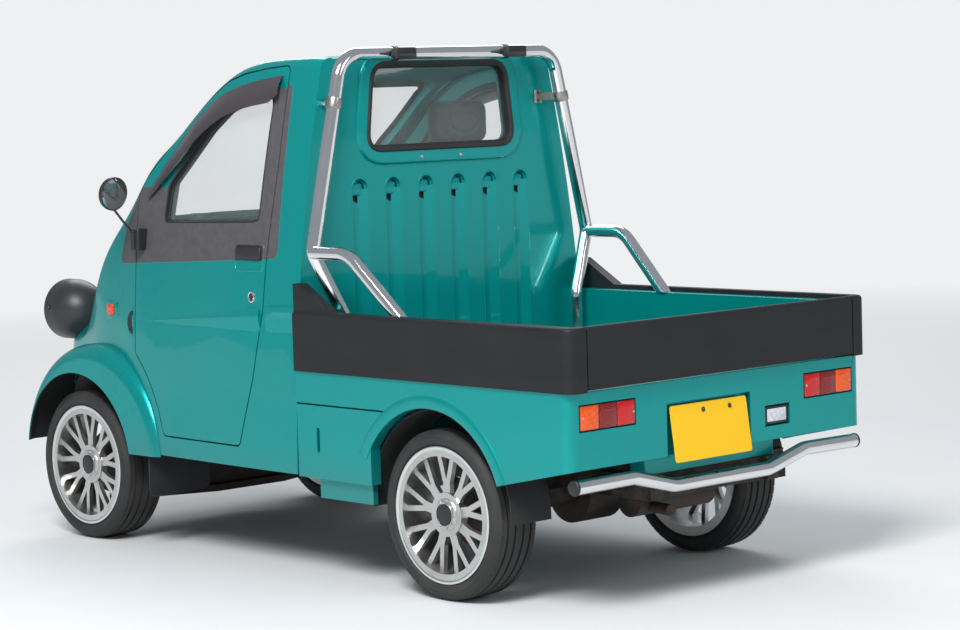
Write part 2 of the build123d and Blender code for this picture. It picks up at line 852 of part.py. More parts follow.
# Cladding along the bed sides, wrapped round the rear corners up to the tailgate
with BuildPart() as bed_cladding:
    with BuildSketch(Plane.XY.offset(side_top_z + seat_gap)) as bed_cladding_outline:
        with BuildLine():
            Polyline(
                (side_front_x, bed_wall_y + seat_gap),
                (side_front_x, cladding_y),
                (cladding_rear_x, cladding_y),
                (cladding_rear_x, tailgate_half_width),
                (cladding_rear_x + tailgate_thickness, tailgate_half_width),
                (cladding_rear_x + tailgate_thickness, bed_wall_y + seat_gap),
                close=True,
            )
        make_face()
        fillet(bed_cladding_outline.vertices().group_by(Axis.X)[0].sort_by(Axis.Y)[-1], bed_corner)
    extrude(amount=cladding_top_z - side_top_z - seat_gap)
    fillet(
        bed_cladding.faces().sort_by(Axis.Z)[-1].edges().group_by(Axis.Y)[-1], cladding_round
    )
    with BuildSketch(Plane.XZ.offset(-bed_half_width)):
        with BuildLine():
            Polyline(
                (side_front_x, cladding_top_z - 2), (side_front_x, cladding_top_z + gusset_rise),
                (side_front_x - gusset_tip, cladding_top_z + gusset_rise),
                (side_front_x - gusset_length, cladding_top_z - 2), close=True,
            )
        make_face()
    extrude(amount=bed_half_width - bed_wall_y - seat_gap)
    mirror(about=Plane.XZ)
save(bed_cladding.part, "bed_cladding")

with BuildPart() as tailgate:
    with BuildSketch(Plane.YZ.offset(cladding_rear_x)):
        with Locations((0, (tailgate_low_z + cladding_top_z) / 2)):
            Rectangle(2 * (tailgate_half_width - panel_gap), cladding_top_z - tailgate_low_z)
    extrude(amount=tailgate_thickness)
    fillet(tailgate.faces().sort_by(Axis.Z)[-1].edges().filter_by(Axis.Y), cladding_round)
    with BuildSketch(Plane.XZ):
        with Locations((tailgate_pin_x, tailgate_pin_z)):
            Circle(tailgate_pin_radius)
    extrude(amount=tailgate_half_width - seat_gap, both=True)
save(tailgate.part, "tailgate")

# Roll hoop behind the cab with its side rails and stays
with BuildPart() as roll_hoop:
    leg = [
        (hoop_x - hoop_foot_back, hoop_foot[0], bed_floor_z + seat_gap),
        (hoop_x - hoop_foot_back, *hoop_foot),
        (hoop_x, *hoop_elbow),
        (hoop_x, *hoop_shoulder),
        (hoop_x, hoop_top_half, overall_height - hoop_radius),
    ]
    add(tube_along(both_sides(leg), [60, 60, 60, 90, 90, 60, 60, 60], hoop_radius))
    for side in (1, -1):
        rail = [
            (hoop_x, side * hoop_elbow[0], hoop_elbow[1]),
            (side_hoop_level_x, side * hoop_elbow[0], hoop_elbow[1]),
            (side_hoop_end_x, side * side_hoop_end_y, bed_wall_top_z - hoop_radius),
        ]
        add(tube_along(rail, [side_hoop_bend_radius], hoop_radius))
        add(
            Solid.make_cylinder(
                bracket_radius, cab_rear_x - hoop_x - seat_gap,
                Plane(origin=(hoop_x, side * (hoop_shoulder[0] - 32), bracket_z), z_dir=(1, 0, 0)),
            )
        )
    with BuildSketch(Plane.XY.offset(bed_wall_top_z + seat_gap)):
        with Locations((side_hoop_end_x, 0)):
            Rectangle(300, 2 * bed_half_width)
    extrude(amount=-60, mode=Mode.SUBTRACT)
save(roll_hoop.part, "roll_hoop")

with BuildPart() as hoop_lamps:
    with BuildSketch(Plane.XY.offset(overall_height - hoop_radius)):
        for side in (1, -1):
            with Locations((hoop_x - hoop_radius - hoop_lamp_depth / 2 - seat_gap, side * hoop_lamp_y)):
                RectangleRounded(hoop_lamp_depth, hoop_lamp_width, hoop_lamp_corner)
    extrude(amount=hoop_radius, both=True)
save(hoop_lamps.part, "hoop_lamps")

with BuildPart() as rear_bumper:
    run = [(bumper_tube_x, y, z) for y, z in bumper_tube_bends]
    add(tube_along(both_sides(run), bumper_tube_bend_radius, bumper_tube_radius))
save(rear_bumper.part, "rear_bumper")

# Chassis rails and cross members
with BuildPart() as chassis_frame:
    with BuildSketch(Plane.XY.offset(rail_low_z)):
        for side in (1, -1):
            with Locations(((rail_rear_x + rail_front_x) / 2, side * rail_y)):
                Rectangle(rail_front_x - rail_rear_x, rail_width)
        for x in cross_members:
            with Locations((x, 0)):
                Rectangle(60, 2 * rail_y)
    extrude(amount=underside_z - seat_gap - rail_low_z)
    spring_top_z = tyre_radius + axle_radius + spring_thickness + spring_drop
    with BuildSketch(Plane.XY.offset(spring_top_z + seat_gap)):
        for x in (rear_axle_x - spring_length / 2, rear_axle_x + spring_length / 2):
            with Locations((x, 0)):
                Rectangle(spring_width, 2 * spring_y + spring_width)
    extrude(amount=underside_z - spring_top_z - 2 * seat_gap)
    add(
        Solid.make_cylinder(
            differential_radius + 40, 2 * differential_radius + 100,
            Plane(origin=(rear_axle_x, -differential_radius - 50, tyre_radius), z_dir=(0, 1, 0)),
        ),
        mode=Mode.SUBTRACT,
    )
save(chassis_frame.part, "chassis_frame")

# Rear axle with its leaf springs
with BuildPart() as rear_axle:
    with BuildSketch(Plane.XZ):
        with Locations((rear_axle_x, tyre_radius)):
            Circle(axle_radius)
    extrude(amount=drum_y, both=True)
    with BuildSketch(Plane.XZ):
        with Locations((rear_axle_x, tyre_radius)):
            Circle(differential_radius)
    extrude(amount=differential_width / 2, both=True)
    for side in (1, -1):
        add(
            Solid.make_cylinder(
                drum_radius, 36,
                Plane(origin=(rear_axle_x, side * (drum_y - 18), tyre_radius), z_dir=(0, side, 0)),
            )
        )
        add(
            Solid.make_cylinder(
                stub_radius, wheel_y + disc_out - drum_y,
                Plane(origin=(rear_axle_x, side * drum_y, tyre_radius), z_dir=(0, side, 0)),
            )
        )
        with BuildSketch(Plane.XY.offset(tyre_radius)):
            with Locations((rear_axle_x, side * spring_y)):
                Rectangle(2 * axle_radius, spring_width)
        extrude(amount=axle_radius + spring_thickness / 2)
    for side in (1, -1):
        with BuildSketch(Plane.XZ.offset(-side * spring_y - spring_width / 2)):
            with BuildLine():
                back = rear_axle_x - spring_length / 2
                front = rear_axle_x + spring_length / 2
                high = tyre_radius + axle_radius + spring_thickness + spring_drop
                low = high - spring_thickness
                ThreePointArc((back, high), (rear_axle_x, high - spring_drop), (front, high))
                Line((front, high), (front, low))
                ThreePointArc((front, low), (rear_axle_x, low - spring_drop), (back, low))
                Line((back, low), (back, high))
            make_face()
        extrude(amount=spring_width)
save(rear_axle.part, "rear_axle")

# Front suspension arms on the cross member
arm_end = kingpin_low[0]
with BuildPart() as front_suspension:
    with BuildSketch(Plane.XY.offset(arm_z - arm_thickness / 2 - arm_cup_depth)):
        for side in (1, -1):
            with BuildLine():
                Polyline(
                    (front_axle_x - 150, side * 150), (front_axle_x - 22, side * arm_end),
                    (front_axle_x + 22, side * arm_end), (front_axle_x + 150, side * 150), close=True,
                )
            make_face()
            with Locations((front_axle_x, side * arm_end)):
                Circle(22)
        with Locations((front_axle_x, 0)):
            Rectangle(300, 310)
    extrude(amount=arm_thickness)
    with BuildSketch(Plane.XY.offset(arm_z - arm_thickness / 2 - arm_cup_depth)):
        with Locations((front_axle_x, 0)):
            Rectangle(220, 2 * rail_y)
    extrude(amount=rail_low_z - seat_gap - arm_z + arm_thickness / 2 + arm_cup_depth)
save(front_suspension.part, "front_suspension")

# Knuckles: an upright and strut on a leaning steering axis, with the stub that carries the wheel
lean = atan2(kingpin_low[0] - kingpin_high[0], kingpin_high[1] - kingpin_low[1])
for side, name in ((1, "left"), (-1, "right")):
    kingpin = Plane(
        origin=(front_axle_x, side * kingpin_low[0], kingpin_low[1]),
        z_dir=(0, -side * sin(lean), cos(lean)),
    )
    ball_z = arm_z + arm_thickness / 2 - arm_cup_depth + seat_gap + ball_radius
    ball_y = kingpin_low[0] + (kingpin_low[1] - ball_z) * tan(lean)
    with BuildPart() as knuckle:
        add(Solid.make_cylinder(strut_radius, strut_length, kingpin))
        add(Solid.make_sphere(ball_radius, Plane((front_axle_x, side * ball_y, ball_z)), -90, 90))
        for radius, length, inboard in (
            (upright_radius, upright_length, upright_inboard),
            (drum_radius, drum_width, drum_inboard),
            (stub_radius, disc_out + stub_inboard, stub_inboard),
        ):
            start = (front_axle_x, side * (wheel_y - inboard), tyre_radius)
            add(Solid.make_cylinder(radius, length, Plane(origin=start, z_dir=(0, side, 0))))
    save(knuckle.part, f"knuckle_{name}")

# Engine block
with BuildPart() as engine_block:
    with BuildSketch(Plane.XY.offset(engine_low_z)):
        with Locations((engine_x, 0)):
            RectangleRounded(engine_length, 2 * engine_half_width, 20)
    extrude(amount=engine_top_z - engine_low_z)
    with BuildSketch(Plane.XY.offset(mount_arm_z)):
        with Locations((engine_x, 0)):
            Rectangle(mount_arm_size, 2 * rail_y - rail_width - 2 * seat_gap)
    extrude(amount=mount_arm_size)
save(engine_block.part, "engine_block")

# Exhaust silencer and tail pipe
with BuildPart() as exhaust:
    with BuildSketch(Plane.XZ.offset(-muffler_to_y)):
        with Locations((muffler_x, muffler_z)):
            Circle(muffler_radius)
    extrude(amount=muffler_to_y - muffler_from_y)
    pipe_start = (muffler_x, muffler_to_y - pipe_inboard, muffler_z - pipe_drop)
    add(Solid.make_cylinder(pipe_radius, pipe_length, Plane(origin=pipe_start, z_dir=(-1, 0.15, 0))))
    with BuildSketch(Plane.XY.offset(muffler_z + muffler_radius - hanger_thickness)):
        hanger_y = (muffler_to_y + rail_y - rail_width / 2 - seat_gap) / 2 - hanger_width
        with Locations((muffler_x, hanger_y)):
            Rectangle(hanger_width, rail_y - rail_width / 2 - seat_gap - muffler_to_y + 2 * hanger_width)
    extrude(amount=hanger_thickness + 4)
save(exhaust.part, "exhaust")

# Seats
with BuildPart() as seats:
    for y, top_z in ((-seat_y, backrest_top_z), (seat_y, small_backrest_top_z)):
        with BuildSketch(Plane.XY.offset(hump_top_z + seat_gap)):
            with Locations(((seat_back_x + seat_front_x) / 2, y)):
                RectangleRounded(seat_front_x - seat_back_x, 2 * seat_half_width, seat_corner)
        extrude(amount=seat_top_z - hump_top_z - seat_gap)
        with BuildSketch(Plane.XZ.offset(-y - seat_half_width)):
            with BuildLine():
                slope = (top_z - hump_top_z) * sin(radians(backrest_lean))
                foot_z = hump_top_z + backrest_foot
                Polyline(
                    (seat_back_x, foot_z),
                    (seat_back_x + backrest_thickness, foot_z),
                    (seat_back_x + backrest_thickness - slope, top_z),
                    (seat_back_x - slope, top_z),
                    close=True,
                )
            make_face()
        extrude(amount=2 * seat_half_width)
    lean_back = (headrest_z - hump_top_z) * sin(radians(backrest_lean))
    head_x = seat_back_x + backrest_thickness / 2 - lean_back
    with BuildSketch(Plane.XY.offset(headrest_z - headrest_height / 2)):
        with Locations((head_x, -seat_y)):
            RectangleRounded(headrest_thickness, headrest_width, headrest_corner)
    extrude(amount=headrest_height)
    with BuildSketch(Plane.XY.offset(backrest_top_z - 20)):
        with Locations((head_x, -seat_y - headrest_post_y), (head_x, -seat_y + headrest_post_y)):
            Circle(headrest_post_radius)
    extrude(amount=headrest_z - backrest_top_z)
save(seats.part, "seats")

# Dashboard with the steering column under it
column_plane = Plane(
    origin=(wheel_centre_x, column_y, wheel_centre_z),
    z_dir=(cos(radians(column_slope)), 0, -sin(radians(column_slope))),
)
with BuildPart() as dashboard:
    with BuildSketch(Plane.XY.offset(dash_low_z)):
        with Locations(((dash_back_x + dash_front_x) / 2, 0)):
            RectangleRounded(dash_front_x - dash_back_x, 2 * dash_half_width, dash_corner)
    extrude(amount=dash_top_z - dash_low_z)
    add(cab_room, mode=Mode.INTERSECT)
    column_foot = column_plane.offset(column_start)
    add(Solid.make_cylinder(column_radius, column_length - column_start, column_foot))
    with BuildSketch(Plane.XY.offset(wheel_centre_z - column_bracket_drop)):
        with Locations((dash_back_x + column_bracket_forward, column_y)):
            Rectangle(column_bracket_length, column_bracket_width)
    extrude(amount=dash_low_z - wheel_centre_z + column_bracket_drop + dash_corner / 3)
    add(
        Solid.make_cylinder(shaft_radius + shaft_room, column_length + 20, column_plane.offset(-10)),
        mode=Mode.SUBTRACT,
    )
save(dashboard.part, "dashboard")
with BuildPart() as steering_wheel:
    add(Solid.make_torus(steering_radius, steering_rim_radius, column_plane))
    add(Solid.make_cylinder(horn_radius, horn_depth, column_plane.offset(-horn_rise)))
    add(Solid.make_cylinder(shaft_radius, column_length, column_plane))
    for angle in (0, 180, 270):
        spoke_plane = column_plane.rotated((0, 0, angle)).offset(-steering_spoke_depth / 2)
        spoke = Solid.make_box(steering_radius, steering_spoke_width, steering_spoke_depth, spoke_plane)
        add(spoke.moved(Location(spoke_plane.y_dir * -steering_spoke_width / 2)))
save(steering_wheel.part, "steering_wheel")

# Mud flaps behind the front wheels
with BuildPart() as mud_flaps:
    with BuildSketch(Plane.YZ.offset(flap_x)):
        for side in (1, -1):
            with Locations((side * flap_y, flap_z)):
                RectangleRounded(flap_width, flap_height, flap_corner)
    extrude(amount=flap_thickness)
save(mud_flaps.part, "mud_flaps")

# Wheels: one rim and one tyre on the Y axis, with the outer face at +Y, then placed at each corner
half_tyre = tyre_width / 2
# a stem and the two arms of its fork: radius and turn where each begins and ends, and its width
spoke_parts = (
    (hub_radius - 8, 0, spoke_fork_radius + 6, 0, spoke_stem_width),
    (spoke_fork_radius, 4, rim_well_radius + 3, spoke_spread, spoke_arm_width),
    (spoke_fork_radius, -4, rim_well_radius + 3, -spoke_spread, spoke_arm_width),
)
with BuildPart() as rim:
    for y_from, y_to, radius in (
        (-half_tyre + 8, half_tyre - 8, rim_radius - rim_lip),
        (-half_tyre + 8, -half_tyre + 12, rim_radius),
        (half_tyre - 12, half_tyre - 8, rim_radius),
    ):
        with BuildSketch(Plane.XZ.offset(-y_to)):
            Circle(radius)
            Circle(rim_well_radius, mode=Mode.SUBTRACT)
        extrude(amount=y_to - y_from)
    with BuildSketch(Plane.XZ.offset(-disc_out - hub_length / 2)):
        Circle(hub_radius)
    extrude(amount=hub_length)
    with BuildSketch(Plane.XZ.offset(-disc_out - disc_thickness / 2)):
        for n in range(spoke_pairs):
            for from_r, from_turn, to_r, to_turn, width in spoke_parts:
                turn_in = radians(360 * n / spoke_pairs + 90 + from_turn)
                turn_out = radians(360 * n / spoke_pairs + 90 + to_turn)
                start = Vector(from_r * cos(turn_in), from_r * sin(turn_in))
                end = Vector(to_r * cos(turn_out), to_r * sin(turn_out))
                along = (end - start).normalized()
                across = Vector(-along.Y, along.X) * width / 2
                with BuildLine():
                    Polyline(start - across, end - across, end + across, start + across, close=True)
                make_face()
    extrude(amount=disc_thickness)
    with BuildSketch(Plane.XZ.offset(-disc_out - hub_length)):
        Circle(stub_radius + shaft_room)
    extrude(amount=2 * hub_length, mode=Mode.SUBTRACT)
with BuildPart() as tyre:
    inner_r = rim_radius - rim_lip + seat_gap
    side_r = rim_radius + 3
    bead = half_tyre - 12 - seat_gap
    wide_r = inner_r + 28
    tread_y = half_tyre - 12
    shoulder_r = tyre_radius - 8
    with BuildSketch(Plane.XY):
        with BuildLine():
            Polyline((side_r, -bead), (inner_r, -bead), (inner_r, bead), (side_r, bead))
            ThreePointArc((side_r, bead), (wide_r, half_tyre), (shoulder_r, tread_y))
            ThreePointArc((shoulder_r, tread_y), (tyre_radius, 0), (shoulder_r, -tread_y))
            ThreePointArc((shoulder_r, -tread_y), (wide_r, -half_tyre), (side_r, -bead))
        make_face()
    revolve(axis=Axis.Y)
for end, axle_x in (("front", front_axle_x), ("rear", rear_axle_x)):
    for name, flip in (("left", False), ("right", True)):
        for piece, label in ((rim.part, "rim"), (tyre.part, "tyre")):
            placed = piece.moved(Location((axle_x, wheel_y, tyre_radius)))
            if flip:
                placed = placed.mirror(Plane.XZ)
            save(placed, f"{label}_{end}_{name}")
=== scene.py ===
import math

import bmesh
import bpy
from mathutils import Matrix, Vector
from mathutils.bvhtree import BVHTree


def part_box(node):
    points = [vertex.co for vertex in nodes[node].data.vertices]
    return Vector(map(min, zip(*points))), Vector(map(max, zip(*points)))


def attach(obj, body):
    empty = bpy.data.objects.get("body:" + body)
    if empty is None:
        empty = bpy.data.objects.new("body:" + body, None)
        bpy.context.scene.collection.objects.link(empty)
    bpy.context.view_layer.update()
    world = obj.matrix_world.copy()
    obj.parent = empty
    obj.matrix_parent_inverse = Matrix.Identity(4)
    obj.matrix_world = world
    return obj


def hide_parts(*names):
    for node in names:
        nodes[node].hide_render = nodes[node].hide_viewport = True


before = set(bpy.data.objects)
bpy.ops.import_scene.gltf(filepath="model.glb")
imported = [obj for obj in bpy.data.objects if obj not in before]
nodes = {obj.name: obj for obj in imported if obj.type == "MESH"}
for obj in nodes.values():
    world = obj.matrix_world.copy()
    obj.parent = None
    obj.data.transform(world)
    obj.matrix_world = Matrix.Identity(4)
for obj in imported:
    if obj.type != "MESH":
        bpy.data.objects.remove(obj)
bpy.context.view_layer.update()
print("frame loaded:", len(nodes), "nodes")

scene = bpy.context.scene
scene.view_settings.view_transform = "Standard"
sides = (("left", 1), ("right", -1))

# camera and studio
photo = dict(
    place=(-6.64515, 5.81742, 1.50772), yaw=-0.744601, pitch=-0.0841017, roll=-0.0305664,
    focal=2677.05, width=960, sensor=36.0, farthest=200,
)
studio = dict(
    floorHalf=60.0, floorColor=(0.72, 0.725, 0.73), showColor=(0.86, 0.87, 0.88), worldColor=(0.9, 0.95, 1.0),
    worldStrength=0.5, mirrorColor=(0.3, 0.33, 0.36), fade=(3.5, 11.0), aim=(0, 0, 0.6),
    keyPlace=(-3.4, 4.8, 5.6), keySize=2.6, keyPower=620.0,
    fillPlace=(-7.5, -1.5, 4.0), fillSize=2.5, fillPower=60.0,
    backPlace=(5.0, -4.0, 6.0), backSize=5.0, backPower=260.0,
)


def makeCamera(c):
    level = math.cos(c["pitch"])
    along = Vector((level * math.cos(c["yaw"]), level * math.sin(c["yaw"]), math.sin(c["pitch"])))
    side = along.cross(Vector((0, 0, 1))).normalized()
    rise = side.cross(along)
    right = side * math.cos(c["roll"]) + rise * math.sin(c["roll"])
    up = rise * math.cos(c["roll"]) - side * math.sin(c["roll"])
    turn = Matrix((right, up, -along)).transposed().to_4x4()
    data = bpy.data.cameras.new("photoCamera")
    data.sensor_width = c["sensor"]
    data.lens = c["focal"] / c["width"] * c["sensor"]
    data.clip_end = c["farthest"]
    cam = bpy.data.objects.new("photoCamera", data)
    scene.collection.objects.link(cam)
    cam.matrix_world = Matrix.Translation(c["place"]) @ turn
    scene.camera = cam


def areaLamp(name, spot, size, power):
    data = bpy.data.lights.new(name, "AREA")
    data.size = size
    data.energy = power
    lamp = bpy.data.objects.new(name, data)
    scene.collection.objects.link(lamp)
    lamp.location = spot
    lamp.rotation_euler = (Vector(studio["aim"]) - Vector(spot)).to_track_quat("-Z", "Y").to_euler()


# shader maths: a socket that takes part in Python expressions
class Sock:
    def __init__(self, shade, socket):
        self.shade = shade
        self.socket = socket

    def maths(self, operation, other, flip=False):
        pair = (other, self) if flip else (self, other)
        return self.shade.node("ShaderNodeMath", dict(operation=operation), {0: pair[0], 1: pair[1]})

    def __add__(self, other):
        return self.maths("ADD", other)

    def __sub__(self, other):
        return self.maths("SUBTRACT", other)

    def __rsub__(self, other):
        return self.maths("SUBTRACT", other, flip=True)

    def __mul__(self, other):
        return self.maths("MULTIPLY", other)

    def __gt__(self, other):
        return self.maths("GREATER_THAN", other)

    def __lt__(self, other):
        return self.maths("LESS_THAN", other)

    def abs(self):
        return self.maths("ABSOLUTE", 0.0)

    def power(self, other):
        return self.maths("POWER", other)

    def most(self, other):
        return self.maths("MAXIMUM", other)

    def sine(self):
        return self.maths("SINE", 0.0)


# a material under construction
class Shade:
    def __init__(self, name):
        self.material = bpy.data.materials.new(name)
        self.material.use_nodes = True
        self.tree = self.material.node_tree
        self.bsdf = self.tree.nodes["Principled BSDF"]
        coordinate = self.tree.nodes.new("ShaderNodeTexCoord")
        self.place = Sock(self, coordinate.outputs["Object"])

    def feed(self, target, value):
        if isinstance(value, Sock):
            self.tree.links.new(value.socket, target)
        else:
            target.default_value = value

    def node(self, kind, settings=None, values=None):
        made = self.tree.nodes.new(kind)
        for key, value in (settings or {}).items():
            setattr(made, key, value)
        for key, value in (values or {}).items():
            self.feed(made.inputs[key], value)
        return Sock(self, made.outputs[0])

    def axes(self):
        split = self.tree.nodes.new("ShaderNodeSeparateXYZ")
        self.feed(split.inputs[0], self.place)
        return [Sock(self, split.outputs[n]) for n in range(3)]

    def noise(self, scale, detail=2.0, rough=0.5, stretch=None):
        spot = self.place
        if stretch:
            spot = self.node("ShaderNodeMapping", None, {"Vector": spot, "Scale": stretch})
        return self.node("ShaderNodeTexNoise", None, {
            "Vector": spot, "Scale": scale, "Detail": detail, "Roughness": rough,
        })

    def voronoi(self, scale):
        return self.node("ShaderNodeTexVoronoi", None, {"Vector": self.place, "Scale": scale})

    def mixColor(self, factor, first, second):
        mix = self.tree.nodes.new("ShaderNodeMix")
        mix.data_type = "RGBA"
        self.feed(mix.inputs[0], factor)
        self.feed(mix.inputs[6], first)
        self.feed(mix.inputs[7], second)
        return Sock(self, mix.outputs[2])

    def ramp(self, factor, low, high, darkest, lightest):
        return self.node("ShaderNodeMapRange", None, {
            "Value": factor, "From Min": low, "From Max": high, "To Min": darkest, "To Max": lightest,
        })

    def bump(self, height, distance, strength=1.0, normal=None):
        values = {"Height": height, "Distance": distance, "Strength": strength}
        if normal is not None:
            values["Normal"] = normal
        return self.node("ShaderNodeBump", None, values)

    def put(self, **values):
        names = dict(
            color="Base Color", rough="Roughness", metal="Metallic", coat="Coat Weight",
            coatRough="Coat Roughness", alpha="Alpha", normal="Normal", sheen="Sheen Weight",
            specular="Specular IOR Level",
        )
        for key, value in values.items():
            if isinstance(value, tuple) and len(value) == 3:
                value = (*value, 1.0)
            self.feed(self.bsdf.inputs[names[key]], value)
        return self.material


# body colour: blue-green metallic paint with flake, clear coat and a little road film low down
teal = dict(
    deep=(0.0, 0.19, 0.185), bright=(0.0, 0.4, 0.385), dust=(0.12, 0.13, 0.125),
    metal=0.55, coat=0.4, specular=0.2,
)


def paintColors(shade):
    flake = shade.noise(900.0, 1.0)
    cloud = shade.noise(2.2, 3.0)
    height = shade.axes()[2]
    body = shade.mixColor(shade.ramp(flake, 0.3, 0.7, 0.35, 0.75), (*teal["deep"], 1), (*teal["bright"], 1))
    low = shade.ramp(height + cloud * 0.12, 0.25, 0.5, 0.3, 0.0)
    color = shade.mixColor(low, body, (*teal["dust"], 1))
    rough = shade.ramp(cloud, 0.3, 0.7, 0.26, 0.34) + low * 0.35
    return color, rough, flake


def tealPaint(name="tealPaint"):
    s = Shade(name)
    color, rough, flake = paintColors(s)
    return s.put(
        color=color, rough=rough, metal=teal["metal"], coat=teal["coat"], coatRough=0.03,
        specular=teal["specular"], normal=s.bump(flake, 0.00003, 0.25),
    )


# inside of the wheel houses and of the domed fenders
wheelHouse = dict(
    axleX=1.045, centreZ=0.264, reach=0.335, innerY=0.3, floorZ=0.4, floorY=0.6,
    fenderX=0.970, ring=0.36, side=0.585, skin=0.0505, color=(0.018, 0.018, 0.019),
)

# grey window surround on the side panels: everything above a slightly sloping line
surround = dict(
    color=(0.07, 0.067, 0.073), light=(0.11, 0.106, 0.112), lineX=0.844, lineZ=0.957, slope=0.045,
    topZero=1.5305, topOne=0.0875, topTwo=-1.0588, frontX=0.749, frontZ=1.198, frontSlope=1.67,
    beakBack=0.06, cornerX=0.60, cornerZ=1.215, noseX=0.822, noseZ=1.076, noseSlope=3.68, outerY=0.4,
    pillarFrom=-0.054, pillarTo=0.05, topZ=1.545, corner=0.028, edge=0.0016, step=0.0016, dull=0.16,
)


def surroundPaint(name, onShell):
    s = Shade(name)
    color, rough, flake = paintColors(s)
    x, y, z = s.axes()
    q = surround
    rise = z - ((x * -1.0 + q["lineX"]) * q["slope"] + q["lineZ"])
    r = q["corner"]
    if onShell:
        low = (r - rise).most(0.0)
        tall = low.most(z - (q["topZ"] - r))
        rear = (q["pillarFrom"] + r - x).most(0.0)
        nose = (x - (q["noseX"] - r) - (q["noseZ"] - z) * (1 / q["noseSlope"])).most(0.0)
        pillar = r - (tall * tall + rear * rear).power(0.5)
        beak = r - (low * low + nose * nose).power(0.5)
        outer = y.abs() > q["outerY"]
        pillarZone = (x < q["pillarTo"]) * outer
        under = z < (q["frontZ"] - (x - q["frontX"]) * q["frontSlope"])
        beakZone = (x > q["frontX"] - q["beakBack"]) * under * outer
        mask = ((pillar > 0.0) * pillarZone).most((beak > 0.0) * beakZone)
        press = s.ramp(pillar, -q["edge"], q["edge"], 0.0, 1.0) * pillarZone
        press = press.most(s.ramp(beak, -q["edge"], q["edge"], 0.0, 1.0) * beakZone)
    else:
        front = (x > q["cornerX"]) * (z < q["cornerZ"])
        mask = (rise > 0.0) * (z < (x * q["topOne"] + x * x * q["topTwo"] + q["topZero"])).most(front)
        press = s.ramp(rise, -q["edge"], q["edge"], 0.0, 1.0)
    grey = s.noise(40.0, 3.0)
    greyColor = s.mixColor(s.ramp(grey, 0.3, 0.7, 0.0, 0.4), (*q["color"], 1), (*q["light"], 1))
    body = s.mixColor(mask, color, greyColor)
    dull = mask
    if onShell:
        w = wheelHouse
        across, up = x - w["axleX"], z - w["centreZ"]
        house = ((across * across + up * up).power(0.5) < w["reach"]) * (y.abs() > w["innerY"])
        inner = house.most((z < w["floorZ"]) * (y.abs() < w["floorY"]))
        body = s.mixColor(inner, body, (*w["color"], 1))
        dull = mask.most(inner)
    return s.put(
        color=body, rough=rough + dull * q["dull"], metal=(1 - dull) * teal["metal"],
        coat=(1 - dull * 0.7) * teal["coat"], coatRough=0.03, specular=teal["specular"],
        normal=s.bump(press, q["step"], 1.0, s.bump(flake, 0.00003, 0.25)),
    )


# paint outside and black sealer on the inside of the domed skin
def fenderPaint(name):
    s = Shade(name)
    color, rough, flake = paintColors(s)
    x, y, z = s.axes()
    q = wheelHouse
    across, up = x - q["fenderX"], z - q["centreZ"]
    ring = ((across * across + up * up).power(0.5) - q["ring"]).most(0.0)
    side = (y.abs() - q["side"]).most(0.0)
    inside = (ring * ring + side * side).power(0.5) < q["skin"]
    return s.put(
        color=s.mixColor(inside, color, (*q["color"], 1)), rough=rough + inside * 0.4,
        metal=(1 - inside) * teal["metal"], coat=(1 - inside) * teal["coat"], coatRough=0.03,
        specular=teal["specular"], normal=s.bump(flake, 0.00003, 0.25),
    )


def plastic(name, color, light, rough, grain=700.0, depth=0.00012, scuff=0.12, specular=0.5):
    s = Shade(name)
    fine = s.noise(grain, 2.0)
    wide = s.noise(6.0, 4.0, 0.6)
    streak = s.noise(9.0, 3.0, 0.6, (0.3, 0.3, 3.0))
    tone = s.mixColor(s.ramp(wide + streak * 0.5, 0.45, 1.05, 0.0, scuff * 4), (*color, 1), (*light, 1))
    return s.put(
        color=tone, rough=s.ramp(wide, 0.3, 0.7, rough - 0.06, rough + 0.08), specular=specular,
        normal=s.bump(fine, depth, 0.6),
    )


def metal(name, color, rough, grain=300.0, dirt=0.15, dirtColor=(0.05, 0.045, 0.04)):
    s = Shade(name)
    fine = s.noise(grain, 2.0)
    wide = s.noise(7.0, 4.0, 0.65)
    patch = s.ramp(wide, 0.5, 0.78, 0.0, dirt)
    return s.put(
        color=s.mixColor(patch, (*color, 1), (*dirtColor, 1)), metal=1.0 - patch * 0.6,
        rough=s.ramp(fine, 0.3, 0.7, rough * 0.85, rough * 1.2) + patch * 0.4,
        normal=s.bump(fine, 0.00002, 0.3),
    )


def rusty(name, base, rust, amount):
    s = Shade(name)
    wide = s.noise(9.0, 5.0, 0.7)
    fine = s.noise(160.0, 3.0)
    patch = s.ramp(wide + fine * 0.25, 0.68 - amount * 0.4, 0.9 - amount * 0.4, 0.0, 1.0)
    return s.put(
        color=s.mixColor(patch, (*base, 1), (*rust, 1)), rough=s.ramp(patch, 0.0, 1.0, 0.45, 0.9),
        metal=(1 - patch) * 0.5, normal=s.bump(fine, 0.0004, 0.5),
    )


def tyreRubber():
    s = Shade("tyreRubber")
    fine = s.noise(500.0, 2.0)
    wide = s.noise(5.0, 4.0, 0.6)
    tone = s.mixColor(s.ramp(wide, 0.4, 0.75, 0.0, 0.7), (0.016, 0.016, 0.017, 1), (0.05, 0.048, 0.044, 1))
    return s.put(color=tone, rough=s.ramp(wide, 0.3, 0.7, 0.55, 0.8), normal=s.bump(fine, 0.00015, 0.5))


def glassy(name, color, alpha, rough=0.02):
    s = Shade(name)
    smear = s.noise(3.0, 3.0, 0.6)
    cover = s.ramp(smear, 0.3, 0.7, alpha * 0.9, alpha * 1.15)
    return s.put(color=color, alpha=cover, rough=rough, coat=0.5, coatRough=0.02)


